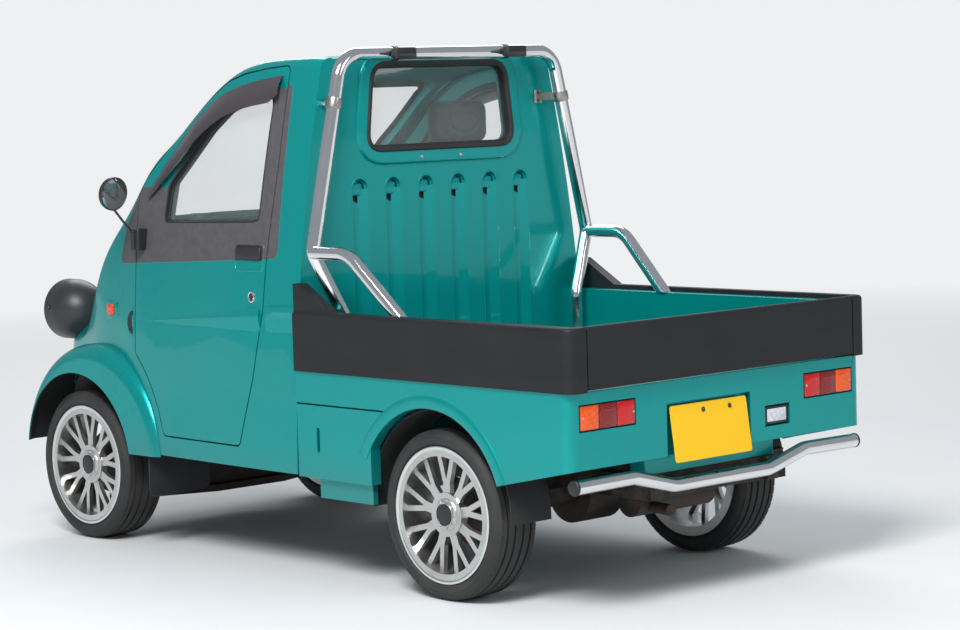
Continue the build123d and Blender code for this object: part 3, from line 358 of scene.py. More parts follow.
def lens(name, color, deep, scale=220.0):
    s = Shade(name)
    ribs = s.node("ShaderNodeTexWave", dict(wave_type="BANDS", bands_direction="Y"), {
        "Vector": s.place, "Scale": scale / (2 * math.pi), "Distortion": 0.0,
    })
    cells = s.voronoi(scale * 0.5)
    tone = s.mixColor(s.ramp(cells, 0.0, 0.8, 0.0, 0.6), (*color, 1), (*deep, 1))
    return s.put(
        color=tone, rough=0.2, coat=0.6, coatRough=0.03, specular=0.3, normal=s.bump(ribs, 0.0004, 0.4),
    )


def ringLens(name, color, deep, y, z, pitch):
    s = Shade(name)
    across, up = s.axes()[1].abs() - y, s.axes()[2] - z
    wave = ((across * across + up * up).power(0.5) * (2 * math.pi / pitch)).sine()
    tone = s.mixColor(s.ramp(wave, -1.0, 1.0, 0.0, 1.0), (*color, 1), (*deep, 1))
    return s.put(
        color=tone, rough=0.2, coat=0.6, coatRough=0.03, specular=0.3, normal=s.bump(wave, 0.0005, 0.5),
    )


def vinyl(name, color, light):
    s = Shade(name)
    weave = s.voronoi(420.0)
    wide = s.noise(9.0, 3.0)
    tone = s.mixColor(s.ramp(wide, 0.35, 0.7, 0.0, 0.5), (*color, 1), (*light, 1))
    return s.put(color=tone, rough=0.62, sheen=0.2, normal=s.bump(weave, 0.0004, 0.5))


paint = tealPaint()
doorPaint = surroundPaint("doorPaint", False)
shellPaint = surroundPaint("shellPaint", True)
fenderFinish = fenderPaint("fenderPaint")
bedPaint = tealPaint("bedPaint")
charcoal = plastic("charcoalCladding", (0.011, 0.0115, 0.013), (0.024, 0.025, 0.028), 0.5, specular=0.25)
clampSteel = metal("clampSteel", (0.42, 0.4, 0.37), 0.3, 300.0, 0.75, (0.12, 0.06, 0.03))
blackTrim = plastic("blackTrim", (0.012, 0.012, 0.013), (0.03, 0.03, 0.032), 0.42, 900.0, 0.00006)
# black rubber for the seals, the gasket and the lock core, also laid round the door pulls as painted shade
rubberSealAndShade = plastic("rubberSealAndShade", (0.01, 0.01, 0.011), (0.03, 0.03, 0.03), 0.6, 600.0, 0.00008)
bowlGrey = plastic("lampBowlGrey", (0.02, 0.02, 0.022), (0.045, 0.045, 0.05), 0.38, 800.0, 0.00006)
chrome = metal("chromeTube", (0.8, 0.8, 0.8), 0.09, 120.0, 0.08, (0.2, 0.16, 0.12))
rimSilver = metal("rimSilver", (0.62, 0.62, 0.6), 0.32, 500.0, 0.35, (0.12, 0.1, 0.085))
rimBright = metal("rimBright", (0.75, 0.75, 0.74), 0.16, 200.0, 0.1, (0.2, 0.18, 0.15))
boltSteel = metal("boltSteel", (0.5, 0.5, 0.5), 0.3, 500.0, 0.3)
tyreBlack = tyreRubber()
clearGlass = glassy("clearGlass", (0.45, 0.53, 0.52, 1), 0.09)
smoked = glassy("smokedVisor", (0.05, 0.04, 0.045, 1), 0.82, 0.08)
amberLens = lens("amberLens", (0.9, 0.12, 0.0), (0.6, 0.03, 0.0))
redLens = lens("redLens", (0.6, 0.002, 0.003), (0.42, 0.0, 0.0))
clearLens = lens("clearLens", (0.7, 0.72, 0.74), (0.35, 0.37, 0.4), 160.0)
plateYellow = plastic("plateYellow", (0.86, 0.49, 0.0), (0.9, 0.56, 0.01), 0.35, 300.0, 0.00003, 0.06)
chassisBlack = rusty("chassisBlack", (0.02, 0.02, 0.021), (0.09, 0.06, 0.045), 0.25)
axleBlack = rusty("axleBlack", (0.02, 0.019, 0.018), (0.06, 0.042, 0.03), 0.35)
exhaustRust = rusty("exhaustRust", (0.025, 0.023, 0.022), (0.05, 0.034, 0.025), 0.4)
# black sealer for the arch liners, also laid in the hook slots and catch recesses as painted shade
sealerAndShadeBlack = plastic("sealerAndShadeBlack", (0.014, 0.014, 0.015), (0.04, 0.038, 0.035), 0.8, 300.0, 0.0006)
darkLens = lens("darkLens", (0.02, 0.018, 0.018), (0.008, 0.006, 0.006), 300.0)
boltDark = metal("boltDark", (0.09, 0.09, 0.09), 0.4, 400.0, 0.2)
mirrorGlass = metal("mirrorGlass", (0.8, 0.83, 0.85), 0.03, 60.0, 0.02, (0.5, 0.5, 0.5))
redDeep = ringLens("redDeep", (0.3, 0.002, 0.005), (0.12, 0.0, 0.002), 0.4805, 0.5815, 0.0085)
amberRed = lens("amberRed", (0.8, 0.07, 0.01), (0.45, 0.02, 0.0), 260.0)
castMetal = rusty("castMetal", (0.22, 0.215, 0.2), (0.1, 0.085, 0.07), 0.4)
cabinGrey = plastic("cabinGrey", (0.03, 0.031, 0.034), (0.06, 0.06, 0.065), 0.55, 500.0, 0.0002, 0.08)
steeringGrain = plastic("steeringGrain", (0.018, 0.018, 0.019), (0.04, 0.04, 0.042), 0.45, 800.0, 0.0002)
seatVinyl = vinyl("seatVinyl", (0.035, 0.036, 0.04), (0.06, 0.062, 0.07))
print("materials ready")


# meshes
def toObject(mesh, name):
    made = bpy.data.objects.new(name, mesh)
    scene.collection.objects.link(made)
    return made


def smoothAt(mesh, degrees):
    mesh.shade_smooth()
    mesh.set_sharp_from_angle(angle=math.radians(degrees))


def applyModifiers(piece):
    bpy.context.view_layer.update()
    evaluated = piece.evaluated_get(bpy.context.evaluated_depsgraph_get())
    mesh = bpy.data.meshes.new_from_object(evaluated)
    piece.modifiers.clear()
    piece.data = mesh
    return piece


def place(piece, body, slot, *replaced):
    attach(piece, body)
    if replaced:
        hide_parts(*replaced)
    return piece


def meshPiece(name, verts, faces, material, angle=35):
    mesh = bpy.data.meshes.new(name)
    mesh.from_pydata([tuple(v) for v in verts], [], faces)
    shape = bmesh.new()
    shape.from_mesh(mesh)
    bmesh.ops.remove_doubles(shape, verts=shape.verts, dist=0.00001)
    bmesh.ops.recalc_face_normals(shape, faces=shape.faces)
    shape.to_mesh(mesh)
    shape.free()
    mesh.materials.append(material)
    smoothAt(mesh, angle)
    return toObject(mesh, name)


# a tube of equal rings, joined end to end where it is a loop and capped where it isn't
def ringPiece(name, rings, material, loop=False, angle=35):
    count = len(rings[0])
    faces = []
    for n in range(len(rings) if loop else len(rings) - 1):
        m = (n + 1) % len(rings)
        for k in range(count):
            j = (k + 1) % count
            faces.append((n * count + k, n * count + j, m * count + j, m * count + k))
    if not loop:
        faces.append(tuple(range(count)))
        faces.append(tuple(range((len(rings) - 1) * count, len(rings) * count)))
    return meshPiece(name, [v for ring in rings for v in ring], faces, material, angle)


# a profile of (radius, along) pairs turned round an axis through the centre
def lathePiece(name, profile, material, centre, axis="Y", steps=96, angle=30):
    rings = []
    for n in range(steps):
        turn = 2 * math.pi * n / steps
        ring = []
        for radius, along in profile:
            across, up = radius * math.cos(turn), radius * math.sin(turn)
            spot = (across, along, up) if axis == "Y" else (along, across, up)
            ring.append(Vector(centre) + Vector(spot))
        rings.append(ring)
    return ringPiece(name, rings, material, loop=True, angle=angle)


# a finished bmesh as an object with its materials
def finishShape(shape, name, materials):
    mesh = bpy.data.meshes.new(name)
    shape.to_mesh(mesh)
    shape.free()
    for material in materials:
        mesh.materials.append(material)
    return toObject(mesh, name)


# a box between two corners with rounded edges
def blockPiece(name, low, high, material, edge=0.003, segments=3, taper=None):
    shape = bmesh.new()
    bmesh.ops.create_cube(shape, size=1)
    middle = (Vector(low) + Vector(high)) / 2
    size = Vector(high) - Vector(low)
    for v in shape.verts:
        v.co = Vector([middle[n] + v.co[n] * size[n] for n in range(3)])
    if taper:
        taper(shape)
    bmesh.ops.bevel(
        shape, geom=shape.edges[:], offset=edge, segments=segments, profile=0.5, affect="EDGES",
        clamp_overlap=True,
    )
    piece = finishShape(shape, name, [material])
    smoothAt(piece.data, 40)
    return piece


# several objects with their materials as one mesh
def joinPieces(name, pieces):
    shape = bmesh.new()
    materials = []
    for piece in pieces:
        remap = []
        for material in piece.data.materials:
            if material not in materials:
                materials.append(material)
            remap.append(materials.index(material))
        before = len(shape.faces)
        shape.from_mesh(piece.data)
        shape.faces.ensure_lookup_table()
        for face in shape.faces[before:]:
            face.material_index = remap[face.material_index]
    for piece in pieces:
        bpy.data.objects.remove(piece)
    return finishShape(shape, name, materials)


# a loop or an open line with its corners rounded, cut into short steps
def roundedPath(points, corner, step=0.02, bends=5, loop=True):
    points = [Vector(p) for p in points]
    path = []
    for n, here in enumerate(points):
        if not loop and n in (0, len(points) - 1):
            path.append(here)
            continue
        back, ahead = points[n - 1] - here, points[(n + 1) % len(points)] - here
        reach = min(corner, back.length * 0.45, ahead.length * 0.45)
        first, last = here + back.normalized() * reach, here + ahead.normalized() * reach
        for k in range(bends + 1):
            t = k / bends
            path.append(first * (1 - t) ** 2 + here * 2 * t * (1 - t) + last * t ** 2)
    cut = []
    for here, ahead in zip(path, path[1:] + path[:1] if loop else path[1:]):
        length = (ahead - here).length
        parts = max(1, round(length / step))
        cut += [here.lerp(ahead, k / parts) for k in range(parts) if length > 1e-6]
    return cut if loop else cut + [path[-1]]


# the outward direction at each point of a closed flat outline
def outwardOf(path):
    area = sum(a.x * b.y - b.x * a.y for a, b in zip(path, path[1:] + path[:1]))
    turn = 1 if area > 0 else -1
    outs = []
    for n in range(len(path)):
        run = (path[(n + 1) % len(path)] - path[n - 1]).normalized()
        outs.append(Vector((run.y, -run.x)) * turn)
    return outs


# where a line of sight meets a CAD node: look is the axis and the side it is seen from
trees = {}


def surfaceAt(node, look, u, v):
    if node not in trees:
        mesh = nodes[node].data
        faces = [tuple(face.vertices) for face in mesh.polygons]
        trees[node] = BVHTree.FromPolygons([v.co for v in mesh.vertices], faces)
    axis, side = look
    start = Vector((u, u, v))
    start[axis] = side * 3
    aim = Vector((0, 0, 0))
    aim[axis] = -side
    hit = trees[node].ray_cast(start, aim)[0]
    return None if hit is None else hit[axis] * side


def spotOn(look, depth, u, v):
    spot = Vector((u, u, v))
    spot[look[0]] = look[1] * depth
    return spot


# a closed strip of a given profile (across, out) that follows an outline on a node's surface
def outlineTrim(name, node, look, outline, profile, material, near=0.004, far=0.012, steepest=0.8):
    outs = outwardOf(outline)
    rings = []
    last = None
    for p, out in zip(outline, outs):
        a = surfaceAt(node, look, *(p + out * near))
        b = surfaceAt(node, look, *(p + out * far))
        a = last[0] if a is None else a
        slope = 0 if b is None else (b - a) / (far - near)
        slope = max(-steepest, min(steepest, slope))
        last = (a, slope)
        rings.append([
            spotOn(look, a + (across - near) * slope + depth, *(p + out * across)) for across, depth in profile
        ])
    return ringPiece(name, rings, material, loop=True)


# how a node's own shape is cleaned and rounded: lengths in metres, angles in degrees
dressing = dict(merge=0.00002, shortest=0.00005, flatAngle=0.4, bevelAngle=40, bevelSteps=2, faceWeight=60)


# a node's own shape with its facets merged, smoothed and its edges rounded
def dress(node, material, slot, body, edge=0.002, angle=32):
    q = dressing
    mesh = nodes[node].data.copy()
    shape = bmesh.new()
    shape.from_mesh(mesh)
    bmesh.ops.remove_doubles(shape, verts=shape.verts, dist=q["merge"])
    bmesh.ops.dissolve_degenerate(shape, edges=shape.edges, dist=q["shortest"])
    bmesh.ops.dissolve_limit(
        shape, angle_limit=math.radians(q["flatAngle"]), use_dissolve_boundaries=False, verts=shape.verts,
        edges=shape.edges,
    )
    shape.to_mesh(mesh)
    shape.free()
    mesh.materials.clear()
    mesh.materials.append(material)
    smoothAt(mesh, angle)
    words = node.split("_")
    piece = toObject(mesh, words[0] + "".join(w.capitalize() for w in words[1:]) + "Skin")
    rounding = piece.modifiers.new("rounding", "BEVEL")
    rounding.width = edge
    rounding.segments = q["bevelSteps"]
    rounding.limit_method = "ANGLE"
    rounding.angle_limit = math.radians(q["bevelAngle"])
    rounding.harden_normals = False
    even = piece.modifiers.new("evenShading", "WEIGHTED_NORMAL")
    even.mode = "FACE_AREA"
    even.weight = q["faceWeight"]
    even.keep_sharp = True
    return place(applyModifiers(piece), body, slot, node)


# a node tree with its inputs named in order, its two makers and the input node's sockets
def openTree(name, *inputs):
    tree = bpy.data.node_groups.new(name, "GeometryNodeTree")
    for label, kind in (("Geometry", "Geometry"), *inputs, ("finish", "Material")):
        tree.interface.new_socket(label, in_out="INPUT", socket_type="NodeSocket" + kind)
    tree.interface.new_socket("Geometry", in_out="OUTPUT", socket_type="NodeSocketGeometry")
    return tree, tree.nodes.new, tree.links.new, tree.nodes.new("NodeGroupInput").outputs


# the tree's end: the instances are made real and given their finish
def closeTree(tree, given, shape):
    add, link = tree.nodes.new, tree.links.new
    real, finish = add("GeometryNodeRealizeInstances"), add("GeometryNodeSetMaterial")
    link(shape, real.inputs[0])
    link(real.outputs[0], finish.inputs["Geometry"])
    link(given["finish"], finish.inputs["Material"])
    link(finish.outputs[0], add("NodeGroupOutput").inputs[0])
    return tree


# a shape at each point, its given axis turned along a direction where there is one
def spreadOver(tree, points, shape, axis=None, direction=None):
    add, link = tree.nodes.new, tree.links.new
    spread = add("GeometryNodeInstanceOnPoints")
    link(points, spread.inputs["Points"])
    link(shape, spread.inputs["Instance"])
    if axis:
        turn = add("FunctionNodeAlignRotationToVector")
        turn.axis = axis
        link(direction, turn.inputs["Vector"])
        link(turn.outputs["Rotation"], spread.inputs["Rotation"])
    return spread.outputs[0]


def timesNode(tree, value, factor):
    times = tree.nodes.new("ShaderNodeMath")
    times.operation = "MULTIPLY"
    times.inputs[1].default_value = factor
    tree.links.new(value, times.inputs[0])
    return times.outputs[0]


# fasteners: a domed head at each point of a mesh, turned along its "aim" attribute
fastener = dict(washerSides=14, headSegments=12, headRings=6, headShare=0.72)


def fastenerTree():
    q = fastener
    tree, add, link, given = openTree("fastenerHeads", ("radius", "Float"), ("height", "Float"))
    washer, head = add("GeometryNodeMeshCylinder"), add("GeometryNodeMeshUVSphere")
    washer.inputs["Vertices"].default_value = q["washerSides"]
    head.inputs["Segments"].default_value = q["headSegments"]
    head.inputs["Rings"].default_value = q["headRings"]
    link(given["radius"], washer.inputs["Radius"])
    link(given["height"], washer.inputs["Depth"])
    link(timesNode(tree, given["radius"], q["headShare"]), head.inputs["Radius"])
    both = add("GeometryNodeJoinGeometry")
    link(washer.outputs["Mesh"], both.inputs[0])
    link(head.outputs["Mesh"], both.inputs[0])
    aim = add("GeometryNodeInputNamedAttribute")
    aim.data_type = "FLOAT_VECTOR"
    aim.inputs["Name"].default_value = "aim"
    heads = spreadOver(tree, given["Geometry"], both.outputs[0], "Z", aim.outputs["Attribute"])
    return closeTree(tree, given, heads)


fastenerHeads = fastenerTree()


def runTree(piece, tree, **values):
    modifier = piece.modifiers.new("shape", "NODES")
    modifier.node_group = tree
    for item in tree.interface.items_tree:
        if item.item_type == "SOCKET" and item.in_out == "INPUT" and item.name in values:
            modifier[item.identifier] = values[item.name]
    return applyModifiers(piece)


# heads at (place, aim) pairs
def fasteners(name, spots, radius, height, material, body, slot):
    mesh = bpy.data.meshes.new(name)
    mesh.from_pydata([tuple(spot) for spot, aim in spots], [], [])
    aims = mesh.attributes.new("aim", "FLOAT_VECTOR", "POINT")
    for n, (spot, aim) in enumerate(spots):
        aims.data[n].vector = aim
    piece = runTree(toObject(mesh, name), fastenerHeads, radius=radius, height=height, finish=material)
    smoothAt(piece.data, 40)
    return place(piece, body, slot)


makeCamera(photo)
for lampName in ("key", "fill", "back"):
    areaLamp(
        lampName + "Lamp", studio[lampName + "Place"], studio[lampName + "Size"], studio[lampName + "Power"],
    )


def makeStudio(q):
    world = bpy.data.worlds.new("studioWorld")
    scene.world = world
    world.use_nodes = True
    tree = world.node_tree
    background = tree.nodes["Background"]
    background.inputs[0].default_value = (*q["worldColor"], 1)
    background.inputs[1].default_value = q["worldStrength"]
    path = tree.nodes.new("ShaderNodeLightPath")
    either = tree.nodes.new("ShaderNodeMath")
    either.operation = "MAXIMUM"
    tree.links.new(path.outputs["Is Camera Ray"], either.inputs[0])
    tree.links.new(path.outputs["Is Transmission Ray"], either.inputs[1])
    last = background.outputs[0]
    glossy, seen = path.outputs["Is Glossy Ray"], either.outputs[0]
    for factor, color in ((glossy, q["mirrorColor"]), (seen, q["showColor"])):
        plain, mix = tree.nodes.new("ShaderNodeBackground"), tree.nodes.new("ShaderNodeMixShader")
        plain.inputs[0].default_value = (*color, 1)
        tree.links.new(factor, mix.inputs[0])
        tree.links.new(last, mix.inputs[1])
        tree.links.new(plain.outputs[0], mix.inputs[2])
        last = mix.outputs[0]
    tree.links.new(last, tree.nodes["World Output"].inputs[0])
    half = q["floorHalf"]
    mesh = bpy.data.meshes.new("studioFloor")
    corners = [(-half, -half, 0), (half, -half, 0), (half, half, 0), (-half, half, 0)]
    mesh.from_pydata(corners, [], [(0, 1, 2, 3)])
    s = Shade("floorPale")
    s.put(color=s.mixColor(s.noise(3.0), (*q["floorColor"], 1), (0.69, 0.7, 0.71, 1)), rough=0.85)
    x, y = s.axes()[:2]
    away = s.ramp((x * x + y * y).power(0.5), *q["fade"], 0.0, 1.0)
    glow = s.node("ShaderNodeEmission", None, {"Color": (*q["showColor"], 1), "Strength": 1.0})
    far = s.node("ShaderNodeMixShader", None, {0: away, 1: Sock(s, s.bsdf.outputs[0]), 2: glow})
    s.tree.links.new(far.socket, s.tree.nodes["Material Output"].inputs[0])
    mesh.materials.append(s.material)
    floor = toObject(mesh, "studioFloor")


makeStudio(studio)

# finish, slot and nodes: a node that moves is its own body
panelJobs = (
    (shellPaint, "body_paint", "cab_shell"),
    (fenderFinish, "body_paint", "front_fenders"),
    (paint, "body_paint", "side_panels", "side_covers", "rear_panel"),
    (bedPaint, "bed_paint", "bed_tub"),
    (paint, "body_paint", "front_lid"),
    (doorPaint, "body_paint", "door_left", "door_right"),
    (charcoal, "cladding", "bed_cladding", "tailgate", "front_bumper"),
    (bowlGrey, "cladding", "headlamp_bowls"),
    (chrome, "chrome_tube", "roll_hoop", "rear_bumper"),
    (chassisBlack, "chassis_black", "chassis_frame"),
    (axleBlack, "chassis_black", "rear_axle", "front_suspension"),
    (castMetal, "cast_metal", "engine_block"),
    (exhaustRust, "rust", "exhaust"),
    (cabinGrey, "interior", "dashboard"),
    (blackTrim, "black_trim", "mud_flaps"),
    (steeringGrain, "interior", "steering_wheel"),
    (axleBlack, "chassis_black", "knuckle_left", "knuckle_right"),
)
movers = (
    "front_lid", "door_left", "door_right", "tailgate", "steering_wheel", "knuckle_left", "knuckle_right",
)
for finish, slotName, *names in panelJobs:
    for nodeName in names:
        dress(nodeName, finish, slotName, nodeName if nodeName in movers else "root")
print("panels dressed")

# shown as they are, with a material only
plainJobs = (
    (clearGlass, "windscreen", "rear_window", "door_glass_left", "door_glass_right"),
    (plateYellow, "number_plate"),
)
for finish, *names in plainJobs:
    for nodeName in names:
        nodes[nodeName].data.materials.clear()
        nodes[nodeName].data.materials.append(finish)
print("plain nodes given their materials")


# wheels
wheel = dict(
    frontX=1.045, rearX=-0.795, y=0.530, z=0.2565, tyreRadius=0.2565, tyreHalf=0.0825, rimRadius=0.205,
    grooves=(0.016, 0.045), grooveHalf=0.0035, grooveDepth=0.006, grooveLip=0.001, grooveFoot=0.0004,
    crown=0.0028, skinEdge=0.0018, skinAngle=28,
    shoulderBlocks=60, blockSize=(0.0085, 0.0225, 0.018), blockDrop=0.0072, blockIn=0.0245,
    bolts=9, boltCircle=0.041, boltFace=0.0615, boltRadius=0.0032, boltTall=0.003, lipFace=0.0745,
    # the tyre's side and shoulder: (radius inside the tread's, along inside its half width)
    side=((0.059, 0.0135), (0.048, 0.0115), (0.046, 0.006), (0.044, 0.003), (0.042, 0.0022), (0.040, 0.0028),
          (0.036, 0.001), (0.030, 0.0), (0.024, 0.0006), (0.023, 0.0016), (0.022, 0.0008), (0.017, 0.0026),
          (0.013, 0.0066), (0.0107, 0.0105), (0.0065, 0.0135), (0.0045, 0.0185)),
    # the rim's lip: (radius inside the rim's, along from the lip's face), and its trim: (radius, along)
    lip=((0.026, -0.016), (0.0225, -0.006), (0.0215, -0.0035), (0.0125, -0.0028), (0.0115, -0.0005),
         (0.0095, 0.0005), (0.0025, 0.0018), (-0.0008, 0.001), (-0.001, -0.003), (0.0075, -0.0045),
         (0.0255, -0.0175)),
    hub=((0.0, 0.062), (0.036, 0.062), (0.038, 0.0612), (0.0465, 0.0605), (0.0485, 0.0585), (0.0485, 0.0446),
         (0.0, 0.0446)),
    hubRing=((0.0322, 0.058), (0.0345, 0.0655), (0.0362, 0.0655), (0.0382, 0.058)),
    cap=((0.0, 0.0672), (0.012, 0.067), (0.024, 0.0664), (0.0302, 0.0655), (0.0322, 0.064), (0.0322, 0.058),
         (0.0, 0.058)),
)


# half of the tyre from the bead to the tread's middle, as (radius, along)
def tyreProfile(q):
    half, top = q["tyreHalf"], q["tyreRadius"]
    side = [(top - inside, half - along) for inside, along in q["side"]]
    lip, foot = q["grooveHalf"] + q["grooveLip"], q["grooveHalf"] - q["grooveFoot"]
    tread = []
    for groove in sorted(q["grooves"], reverse=True):
        for across, deep in ((lip, 0.0), (foot, q["grooveDepth"]), (-foot, q["grooveDepth"]), (-lip, 0.0)):
            along = groove + across
            tread.append((top - q["crown"] * (along / half) ** 2 - deep, along))
    return side + tread + [(top, 0.0)]


def tyrePiece(name, centre, material):
    half = tyreProfile(wheel)
    profile = half + [(radius, -along) for radius, along in reversed(half[:-1])]
    return lathePiece(name, profile, material, centre, steps=120, angle=40)


# small ribs stood around a circle, on both shoulders of a tyre
def shoulderTree():
    sizes = [(label, "Float") for label in ("radius", "half", "deep", "wide", "tall")]
    tree, add, link, given = openTree("shoulderRibs", ("count", "Int"), *sizes)
    ring = add("GeometryNodeCurvePrimitiveCircle")
    link(given["count"], ring.inputs["Resolution"])
    link(given["radius"], ring.inputs["Radius"])
    points = add("GeometryNodeCurveToPoints")
    points.mode = "EVALUATED"
    link(ring.outputs[0], points.inputs[0])
    rib, size = add("GeometryNodeMeshCube"), add("ShaderNodeCombineXYZ")
    for n, label in enumerate(("tall", "wide", "deep")):
        link(given[label], size.inputs[n])
    link(size.outputs[0], rib.inputs["Size"])
    where = add("GeometryNodeInputPosition")
    ribs = spreadOver(tree, points.outputs["Points"], rib.outputs["Mesh"], "X", where.outputs[0])
    both = add("GeometryNodeJoinGeometry")
    for side in (1, -1):
        move, spot = add("GeometryNodeTransform"), add("ShaderNodeCombineXYZ")
        link(timesNode(tree, given["half"], side), spot.inputs[2])
        link(spot.outputs[0], move.inputs["Translation"])
        link(ribs, move.inputs[0])
        link(move.outputs[0], both.inputs[0])
    return closeTree(tree, given, both.outputs[0])


shoulderRibs = shoulderTree()


# the polished stepped lip, the hub's ring and the plain black cap, all turned round the axle
def rimTrim(name, centre, side):
    q = wheel
    lip = [(q["rimRadius"] - inside, q["lipFace"] + along) for inside, along in q["lip"]]
    parts = []
    for word, profile, material in (
        ("Lip", lip, rimBright), ("Hub", q["hub"], rimSilver), ("Ring", q["hubRing"], rimBright),
        ("Cap", q["cap"], blackTrim),
    ):
        flat = [(r, along * side) for r, along in profile]
        parts.append(lathePiece(name + word, flat, material, centre, steps=72, angle=30))
    return joinPieces(name, parts)


def makeWheel(end, side):
    sign = 1 if side == "left" else -1
    centre = Vector((wheel[end + "X"], sign * wheel["y"], wheel["z"]))
    body = f"wheel_{end}_{side}"
    word = end + side.capitalize()
    tyre = tyrePiece(word + "Tyre", centre, tyreBlack)
    ribs = toObject(bpy.data.meshes.new(word + "Ribs"), word + "Ribs")
    tall, wide, deep = wheel["blockSize"]
    runTree(
        ribs, shoulderRibs, count=wheel["shoulderBlocks"], radius=wheel["tyreRadius"] - wheel["blockDrop"],
        half=wheel["tyreHalf"] - wheel["blockIn"], deep=deep, wide=wide, tall=tall, finish=tyreBlack,
    )
    ribs.data.transform(Matrix.Translation(centre) @ Matrix.Rotation(math.radians(90), 4, "X"))
    tyre = joinPieces(word + "TyreTread", [tyre, ribs])
    place(tyre, body, "tyre", f"tyre_{end}_{side}")
    dress(f"rim_{end}_{side}", rimSilver, "wheel_silver", body, wheel["skinEdge"], wheel["skinAngle"])
    place(rimTrim(word + "RimTrim", centre, sign), body, "wheel_silver")
    bolts = []
    for n in range(wheel["bolts"]):
        turn = 2 * math.pi * (n + 0.5) / wheel["bolts"]
        reach = Vector((math.cos(turn), 0, math.sin(turn))) * wheel["boltCircle"]
        bolts.append((centre + reach + Vector((0, sign * wheel["boltFace"], 0)), Vector((0, sign, 0))))
    fasteners(word + "HubBolts", bolts, wheel["boltRadius"], wheel["boltTall"], boltSteel, body, "wheel_silver")


for endName in ("front", "rear"):
    for sideName in ("left", "right"):
        makeWheel(endName, sideName)
print("wheels made")

# windows
sideWindow = dict(
    outline=((0.050, 1.112), (0.587, 1.100), (0.573, 1.225), (0.383, 1.396), (0.291, 1.455), (0.153, 1.500),
             (0.042, 1.508), (0.030, 1.481)),
    corner=0.03, seal=((0.003, 0.0002), (0.002, 0.0016), (-0.001, 0.002), (-0.003, 0.0005), (-0.0035, -0.0125),
                       (-0.006, -0.0145), (-0.0065, -0.0176), (0.001, -0.019)),
)
rearWindow = dict(
    outline=((-0.314, 1.330), (0.314, 1.330), (0.284, 1.594), (-0.284, 1.594)), corner=0.055, plateCorner=0.062,
    plateNear=0.035, plateFar=0.045,
    bolts=(-0.078, 0.092), boltX=-0.1784, boltZ=1.297, boltRadius=0.0065, boltTall=0.004,
    seal=((0.013, 0.0), (0.012, 0.0095), (0.008, 0.0125), (0.001, 0.0115), (-0.005, 0.007), (-0.006, -0.014),
          (-0.010, -0.0165), (-0.0105, -0.018), (0.001, -0.019)),
    plate=((0.053, -0.0005), (0.0505, 0.005), (0.0485, 0.0068), (0.045, 0.0078), (0.030, 0.0082),
           (0.004, 0.0082), (0.004, -0.0005)),
)
frontWindow = dict(
    outline=((-0.466, 1.082), (0.466, 1.082), (0.414, 1.545), (-0.414, 1.545)), corner=0.055,
    seal=((0.012, 0.0), (0.010, 0.003), (0.002, 0.004), (-0.004, 0.0), (-0.008, -0.0125), (-0.02, -0.0165),
          (-0.021, -0.0178), (0.001, -0.02)),
)


def windowSeals():
    q = sideWindow
    path = roundedPath(q["outline"], q["corner"])
    for side, sign in sides:
        seal = outlineTrim(side + "DoorSeal", f"door_{side}", (1, sign), path, q["seal"], rubberSealAndShade)
        place(seal, f"door_{side}", "black_trim")
    for name, q, facing in (("rearWindowSeal", rearWindow, -1), ("frontWindowSeal", frontWindow, 1)):
        path = roundedPath(q["outline"], q["corner"])
        seal = outlineTrim(name, "cab_shell", (0, facing), path, q["seal"], rubberSealAndShade)
        place(seal, "root", "black_trim")
    q = rearWindow
    path = roundedPath(q["outline"], q["plateCorner"])
    plate = outlineTrim(
        "rearWallPlate", "cab_shell", (0, -1), path, q["plate"], paint, q["plateNear"], q["plateFar"],
    )
    place(plate, "root", "body_paint")
    bolts = [(Vector((q["boltX"], y, q["boltZ"])), Vector((-1, 0, 0))) for y in q["bolts"]]
    fasteners("rearWallBolts", bolts, q["boltRadius"], q["boltTall"], boltSteel, "root", "black_trim")


windowSeals()
print("window seals made")

# door furniture
doorFit = dict(
    visorTop=((0.690, 1.196), (0.598, 1.298), (0.455, 1.438), (0.318, 1.516), (0.160, 1.553), (0.002, 1.571)),
    visorDrop=0.082, visorOut=0.026, visorThick=0.0022, visorFoot=0.34, visorGrow=1.9, visorEnd=0.75,
    visorClose=5.0, visorProbe=0.012, visorLift=0.002, visorBend=0.62, visorPoints=8,
    steepest=0.6, plainSlope=0.3,
    handleX=(0.022, 0.155), handleZ=(0.992, 1.032), recessDrop=0.036, recessWider=0.006, recessUp=0.008,
    recessCorner=0.017, recessStep=0.006,
    # how far each block is longer and taller than the pull, from how deep to how far out, and its edge; the
    # black block is painted shade of the handle's scoop round the pull
    dark=(0.002, 0.004, -0.006, 0.0026, 0.005), pull=(-0.002, 0.0, -0.004, 0.0115, 0.008),
    lip=((0.0045, -0.0008), (0.003, 0.0018), (0.0005, 0.0032), (-0.002, 0.0028), (-0.0045, 0.001),
         (-0.0055, -0.0008)),
    keyX=0.064, keyZ=0.874, keyRadius=0.0172, keyTall=1.15,
    # outlines of the lock: (share of its radius, out)
    keyRing=((0.6, 0.0022), (0.64, 0.0046), (0.78, 0.0056), (0.92, 0.0046), (1, 0.001), (1, -0.006),
             (0.6, -0.006)),
    keyCore=((0, 0.0018), (0.22, 0.0018), (0.26, 0.003), (0.5, 0.003), (0.62, 0.0018), (0.62, -0.005),
             (0, -0.005)),
    # rounding of the open lines: corner, step, bends and no loop
    lineRound=(0.06, 0.02, 6, False), creaseTaper=0.98,
    creaseLine=((0.004, 0.833), (0.343, 0.802), (0.660, 0.772)), creaseRear=((-0.163, 0.838), (-0.012, 0.835)),
    crease=((-0.0125, -0.001), (0.004, 0.0072), (0.0125, 0.0086), (0.030, 0.0066), (0.075, -0.001)),
)


